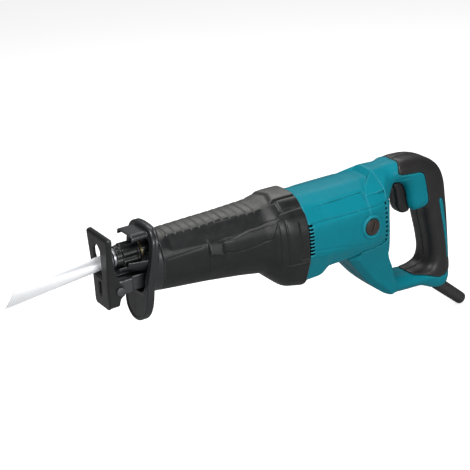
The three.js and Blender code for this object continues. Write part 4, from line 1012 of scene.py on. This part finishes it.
def bar_field(x, y, z):
    """Fork, channel head and notched tail."""
    abs_y = np.abs(y)
    tail = soft_max(soft_max(abs_y - 9.0, slab(z, BAR_Z, 5.5), 1.2), slab(x, 21.0, 45.0), 1.0)
    fork = soft_max(polygon(FORK, x, z), abs_y - 14.6, 1.4)
    head = soft_max(abs_y - 11.4, meet(z + 20.8, -37 - z), 1.2)
    head = soft_max(head, slab(x, -11.0, 15.0), 1.2)
    body = soft_min(soft_min(tail, fork, 1.5), head, 1.0)
    # channel between the two walls, open towards the front
    channel = soft_max(soft_max(abs_y - 8.9, -26.0 - z, 1.6), slab(x, -16.0, 24.0), 1.2)
    body = soft_cut(body, channel, 0.8)
    body = soft_cut(body, axis_distance(x, z, SHOE_PIVOT) - 3.3, 0.4)
    for i in range(4):
        notch = meet(slab(x - NOTCH_START, NOTCH_PITCH * i, 2.5), 6.6 - y, slab(z, BAR_Z, 8))
        body = soft_cut(body, notch, 0.4)
    return body


# ------------------------------------------------------------------ clamp, trigger, brush caps
CLAMP_BORE = 8.5
RING_X = -4.9
# x, z outline of the trigger
TRIGGER = spline([
    [317.9, -5], [320.0, -15], [322.3, -27], [324.0, -36.5], [328.6, -43.0], [335.2, -44.8],
    [340.8, -42.6], [341.8, -30], [340.3, -14], [338.4, -5]], 5)
CAP_SLOT_ANGLE = 1.22


def sleeve_field(x, y, z):
    """Clamp sleeve with six lobes."""
    radius = np.hypot(y, z)
    wave = 0.5 + 0.5 * np.cos(6 * np.arctan2(z, y) + 0.4)
    body = soft_max(radius - (13.4 - 2.2 * wave ** 3), slab(x, -17.4, 9.6), 1.0)
    front = soft_max(radius - (11.5 - wave ** 6), slab(x, -29, 4.4), 1.4)
    rear = soft_max(radius - 12.4, slab(x, -8.2, 1.8), 0.9)
    body = soft_min(soft_min(body, front, 1.2), rear, 0.7)
    body = body + groove(x + 10.2, width=0.8, depth=0.6)
    return soft_cut(body, radius - CLAMP_BORE, 0.6)


def ring_field(x, y, z):
    """Retaining ring: flat turned ring with a slit and a small gap between its ends."""
    radius = np.hypot(y, z)
    body = soft_max(soft_max(radius - 10.9, CLAMP_BORE - radius, 0.5),
                    slab(x, RING_X, 1.3), 0.6)
    body = body + groove(x - RING_X, width=0.5, depth=0.35) * rise(radius, 10.2, 10.6)
    return soft_cut(body, meet(np.abs(y) - 1.0, z), 0.3)


def trigger_field(x, y, z):
    abs_y = np.abs(y)
    body = soft_max(polygon(TRIGGER, x, z), abs_y - 9.4, 6.0)
    # finger hollow, line near the rear edge of the sides, stem at the back
    body = (body + 0.8 * np.exp(-(((x - 317.5) / 5.0) ** 2)) * np.exp(-((y / 5.2) ** 2))
            * fall(z, -14, -8) * rise(z, -42, -36))
    line = polyline([[336.0, -4], [337.4, -42]], x, z)
    body = body + groove(line, width=0.8, depth=0.6) * rise(abs_y, 7, 8.5)
    stem = soft_max(soft_max(abs_y - 5.6, slab(z, -22, 5.0), 1.0), slab(x, 342, 5.0), 1.0)
    return soft_min(body, stem, 0.8)


def cap_field(x, y, z, side):
    """Brush cap: plug, round head with a ring groove, and a screwdriver slot."""
    out_y = y * side
    radius = axis_distance(x, z, BRUSH)
    plug = meet(radius - 7.4, slab(out_y, 40.6, 3.4))
    head = soft_max(radius - 9.3, slab(out_y, 45.2, 1.75), 1.4)
    head = soft_cut(head, np.hypot(radius - 7.4, out_y - 47.4) - 0.7, 0.3)
    body = soft_min(plug, head, 0.5)
    cosine, sine = math.cos(CAP_SLOT_ANGLE), math.sin(CAP_SLOT_ANGLE)
    along = (x - BRUSH[0]) * cosine + (z - BRUSH[1]) * sine
    across = -(x - BRUSH[0]) * sine + (z - BRUSH[1]) * cosine
    slot = soft_max(meet(np.abs(across) - 1.1, np.abs(along) - 6.0), 45.3 - out_y, 0.3)
    return soft_cut(body, slot, 0.3)


# ------------------------------------------------------------------ build the moulded pieces
def handle_pieces(label, side):
    """Shell half and overmould half; each box reaches 2 mm past the middle plane."""
    shell_low, shell_high = sorted((side * 50, side * -2))
    grip_low, grip_high = sorted((side * 26, side * -2))
    return [
        (f"handle_{label}_moulding", partial(handle_field, side=side),
         (236, shell_low, -153), (398, shell_high, 24), COARSE_CELL,
         "housing", "teal_shell", TEAL, f"handle_{label}"),
        (f"grip_{label}_overmould", partial(grip_field, side=side),
         (300, grip_low, -139), (398, grip_high, 24), COARSE_CELL,
         "housing", "grip_rubber", GRIP_MAT, f"grip_{label}")]


def cap_piece(label, side, reach=10.5):
    low_y, high_y = sorted((side * 36, side * 48.2))
    return (f"brush_cap_{label}_moulding", partial(cap_field, side=side),
            (BRUSH[0] - reach, low_y, BRUSH[1] - reach),
            (BRUSH[0] + reach, high_y, BRUSH[1] + reach), FINE_CELL * 0.8,
            "housing", "brush_cap", CAP_MAT, f"brush_cap_{label}")


# name, field, low and high corner of the grid, cell, body, slot, material, replaced node
PIECES = [
    ("front_grip_cover_moulding", cover_field, (6, -52, -90), (182, 52, 28), COARSE_CELL,
     "housing", "black_shell", COVER_MAT, "front_grip_cover"),
    ("motor_housing_moulding", motor_field, (174, -51, -88), (288, 51, 24), COARSE_CELL,
     "housing", "teal_shell", TEAL, "motor_housing"),
    *[piece for label, side in SIDES for piece in handle_pieces(label, side)],
    ("nose_guard_moulding", guard_field, (-35, -32, -79), (14, 32, 31), GUARD_CELL,
     "housing", "black_shell", GUARD_MAT, "nose_guard"),
    ("shoe_pressing", shoe_field, (-52, -26, -52), (-29, 26, 32), FINE_CELL,
     "shoe", "shoe_paint", SHOE_MAT, "shoe_plate"),
    ("shoe_bar_moulding", bar_field, (-44, -16.5, -39), (68, 16.5, -19), FINE_CELL * 1.2,
     "shoe_bar", "dark_steel", BAR_MAT, "shoe_bar"),
    ("clamp_sleeve_moulding", sleeve_field, (-35, -15, -15), (1.5, 15, 15), FINE_CELL,
     "clamp_sleeve", "dark_plastic", SLEEVE_MAT, "blade_clamp_sleeve"),
    ("retaining_ring_turned", ring_field, (-7.5, -12.5, -12.5), (-2.3, 12.5, 12.5),
     FINE_CELL * 0.8, "plunger", "bronze", RING_MAT, "clamp_retaining_ring"),
    ("trigger_moulding", trigger_field, (313, -11.5, -47), (349, 11.5, -2), FINE_CELL,
     "trigger", "dark_plastic", TRIGGER_MAT, "trigger"),
    *[cap_piece(label, side) for label, side in SIDES],
]
for name, field, low, high, cell, body, slot, material, node in PIECES:
    put(isosurface(name, field, low, high, cell), body, material, node)


# ------------------------------------------------------------------ cord and cord guard
# Profiles are closed loops of (radius, station along the cord axis).
GUARD_BORE = 3.95
GUARD_NECK = [
    (GUARD_BORE, -11.8), (7.4, -11.8), (7.7, -11.4), (7.7, -6.6), (7.4, -6.2), (6.2, -6.2),
    (6.2, 3.2), (7.5, 3.2), (7.9, 3.6)]
GUARD_TIP = [(7.3, 52.2), (6.6, 53.2), (GUARD_BORE, 53.2)]
CORD_PROFILE = [(0.01, -18), (3.3, -18), (3.6, -17.6), (3.6, 54.6), (3.4, 55.2), (0.01, 55.2)]
FLEX_RINGS = 8
FLEX_START = 5.0
FLEX_PITCH = 5.8


def turn_on_cord(name, profile, segments):
    """Closed turned piece about the cord axis, which lies in the x-z plane."""
    side_a = np.cross(CORD_AXIS, (0.0, 1.0, 0.0))
    side_b = np.cross(CORD_AXIS, side_a)
    angle = 2 * np.pi * np.arange(segments) / segments
    circle = np.cos(angle)[:, None] * side_a + np.sin(angle)[:, None] * side_b
    rings = [CORD_START + station * CORD_AXIS + radius * circle for radius, station in profile]
    quads = []
    for i in range(len(profile)):
        this, after = i * segments, (i + 1) % len(profile) * segments
        for j in range(segments):
            k = (j + 1) % segments
            quads.append((this + j, this + k, after + k, after + j))
    return mesh_object(name, (np.concatenate(rings) + ROW_OFFSET) * MM, np.array(quads))


def cord_guard_profile():
    """Neck, slightly tapering rings with flexing grooves between them, and tip."""
    profile = list(GUARD_NECK)
    for i in range(FLEX_RINGS):
        radius = 7.9 - 0.06 * i
        start = FLEX_START + FLEX_PITCH * i
        for inset, offset in ((0, 0.3), (0, 4.6), (0.12, 4.9), (0.45, 5.05), (0.45, 5.45),
                              (0.16, 5.6)):
            profile.append((radius - inset, start + offset))
    return profile + GUARD_TIP


put(turn_on_cord("cord_guard_moulding", cord_guard_profile(), segments=56),
    "housing", RUBBER_MAT, "cord_guard")
put(turn_on_cord("power_cord_sheath", CORD_PROFILE, segments=40),
    "housing", RUBBER_MAT, "power_cord")

# ------------------------------------------------------------------ carried-over CAD nodes
# Screws are bright steel; every node not listed takes dark plastic.
NODE_MATERIALS = {node: material for material, nodes in (
    (BLADE, "saw_blade"),
    (COLLAR_MAT, "clamp_front_collar"),
    (BRIGHT, "clamp_pin clamp_spring plunger gear_shaft crank_pin armature_shaft"),
    (PIN_MAT, "shoe_pivot_pin"),
    (DARKSTEEL, "shoe_bar crank_gear"),
    (ALU, "gear_housing bearing_box"),
    (BRONZE, "clamp_retaining_ring front_bush rear_bush brush_holder_left brush_holder_right"),
    (CARBON, "plunger_seal carbon_brush_left carbon_brush_right"),
    (BEARING, "crank_roller gear_bearing_upper gear_bearing_lower motor_bearing_front "
              "motor_bearing_rear"),
    (LAMINATION, "armature_core stator_core"),
    (COPPER, "armature_winding commutator field_coil_upper field_coil_lower"),
) for node in nodes.split()}
# Bevel widths, mm
BEVELS = {"saw_blade": 0.12, "clamp_front_collar": 0.3, "plunger": 0.3,
          "shoe_pivot_pin": 0.5, "shoe_lock_button": 0.5}
SCREW_BEVEL = 0.35


def bevel_width(name):
    return SCREW_BEVEL if name.startswith("handle_screw") else BEVELS.get(name)


for name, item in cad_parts.items():
    dress(item, NODE_MATERIALS.get(name, BRIGHT if "screw" in name else DARK_CAD))
    if item.hide_render:
        continue
    item.data.shade_smooth()
    item.modifiers.new("weld", "WELD").merge_threshold = 1e-6
    if bevel_width(name):
        bevel = item.modifiers.new("bevel", "BEVEL")
        bevel.width = bevel_width(name) * MM
        bevel.segments = 2
        bevel.limit_method = "ANGLE"
        bevel.angle_limit = math.radians(32)
        bevel.harden_normals = False

# ------------------------------------------------------------------ floor and world, metres
FLOOR_HALF = 6.0
FLOOR_GAP = 0.0008


def floor_material():
    """Pale floor: one grey for the camera, nearly white for the light it returns."""
    s = Surface("pale_floor")
    to_camera = s.add("LightPath").outputs["Is Camera Ray"]
    patches = s.ramp(s.noise(scale=3.0), start=0.3, end=0.7)
    pale = s.mix(patches, (0.90, 0.90, 0.90, 1), (0.92, 0.92, 0.92, 1))
    glow = s.ramp(to_camera, start=0.0, end=1.0, low=0.05, high=0.70)
    s.feed(s.shader, {"Base Color": s.mix(to_camera, pale, (0.38, 0.38, 0.38, 1))
                      if False else s.mix(to_camera, (0.38, 0.38, 0.38, 1), pale),
                      "Roughness": 0.9, "Specular IOR Level": 0.1,
                      "Emission Color": (1, 1, 1, 1), "Emission Strength": glow})
    return s.material


floor_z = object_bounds()[0].z - FLOOR_GAP
floor_mesh = bpy.data.meshes.new("floor")
floor_corners = [(x * FLOOR_HALF, y * FLOOR_HALF, floor_z)
                 for x, y in ((-1, -1), (1, -1), (1, 1), (-1, 1))]
floor_mesh.from_pydata(floor_corners, [], [(0, 1, 2, 3)])
floor = link_object("floor", floor_mesh)
floor_mesh.materials.append(floor_material())

# White world, dimmed for every ray but the camera's
world = bpy.data.worlds.new("studio")
bpy.context.scene.world = world
studio = Graph(world)
to_camera = studio.add("LightPath").outputs["Is Camera Ray"]
studio.feed(studio.tree.nodes["Background"], {
    0: (1, 1, 1, 1), 1: studio.ramp(to_camera, start=0.0, end=1.0, low=0.15, high=1.0)})


# ------------------------------------------------------------------ lights and camera
LIGHT_TARGET = Vector((0.19, 0.0, 0.0))


def area_light(name, place, size, size_y, power):
    light = bpy.data.lights.new(name, "AREA")
    light.energy = power
    light.shape = "RECTANGLE"
    light.size = size
    light.size_y = size_y
    lamp = link_object(name, light)
    lamp.location = place
    lamp.rotation_mode = "QUATERNION"
    lamp.rotation_quaternion = (LIGHT_TARGET - Vector(place)).to_track_quat("-Z", "Y")


area_light("key_top", place=(-0.15, -0.25, 1.15), size=0.7, size_y=0.7, power=12.4)
area_light("fill_left", place=(0.22, -1.40, 0.40), size=0.8, size_y=0.5, power=9.6)
area_light("rim_back", place=(0.75, 0.75, 0.85), size=0.6, size_y=0.5, power=2.6)

AZIMUTH, ELEVATION, ROLL = (math.radians(angle) for angle in (-30.5, 22.8, 3.5))
# Design origin seen from the camera, mm along its right, up and back axes
ORIGIN_IN_CAMERA = np.array([-95.582, -14.673, -1434.753])
SENSOR_WIDTH = 36.0
FOCAL_LENGTH = 107.2340426

back = np.array([math.sin(AZIMUTH) * math.cos(ELEVATION),
                 -math.cos(AZIMUTH) * math.cos(ELEVATION), math.sin(ELEVATION)])
right = np.array([math.cos(AZIMUTH), math.sin(AZIMUTH), 0.0])
roll = np.array([[math.cos(ROLL), -math.sin(ROLL), 0],
                 [math.sin(ROLL), math.cos(ROLL), 0], [0, 0, 1]])
view = roll @ np.array([right, np.cross(back, right), back])
eye = (-view.T @ ORIGIN_IN_CAMERA + ROW_OFFSET) * MM

camera_data = bpy.data.cameras.new("camera")
camera_data.sensor_width = SENSOR_WIDTH
camera_data.lens = FOCAL_LENGTH
camera_data.clip_start = 0.01
camera_data.clip_end = 50.0
camera = link_object("camera", camera_data)
camera.matrix_world = Matrix.Translation(Vector(eye)) @ Matrix(view.T.tolist()).to_4x4()
bpy.context.scene.camera = camera
bpy.context.scene.view_settings.view_transform = "Standard"

bpy.context.view_layer.update()
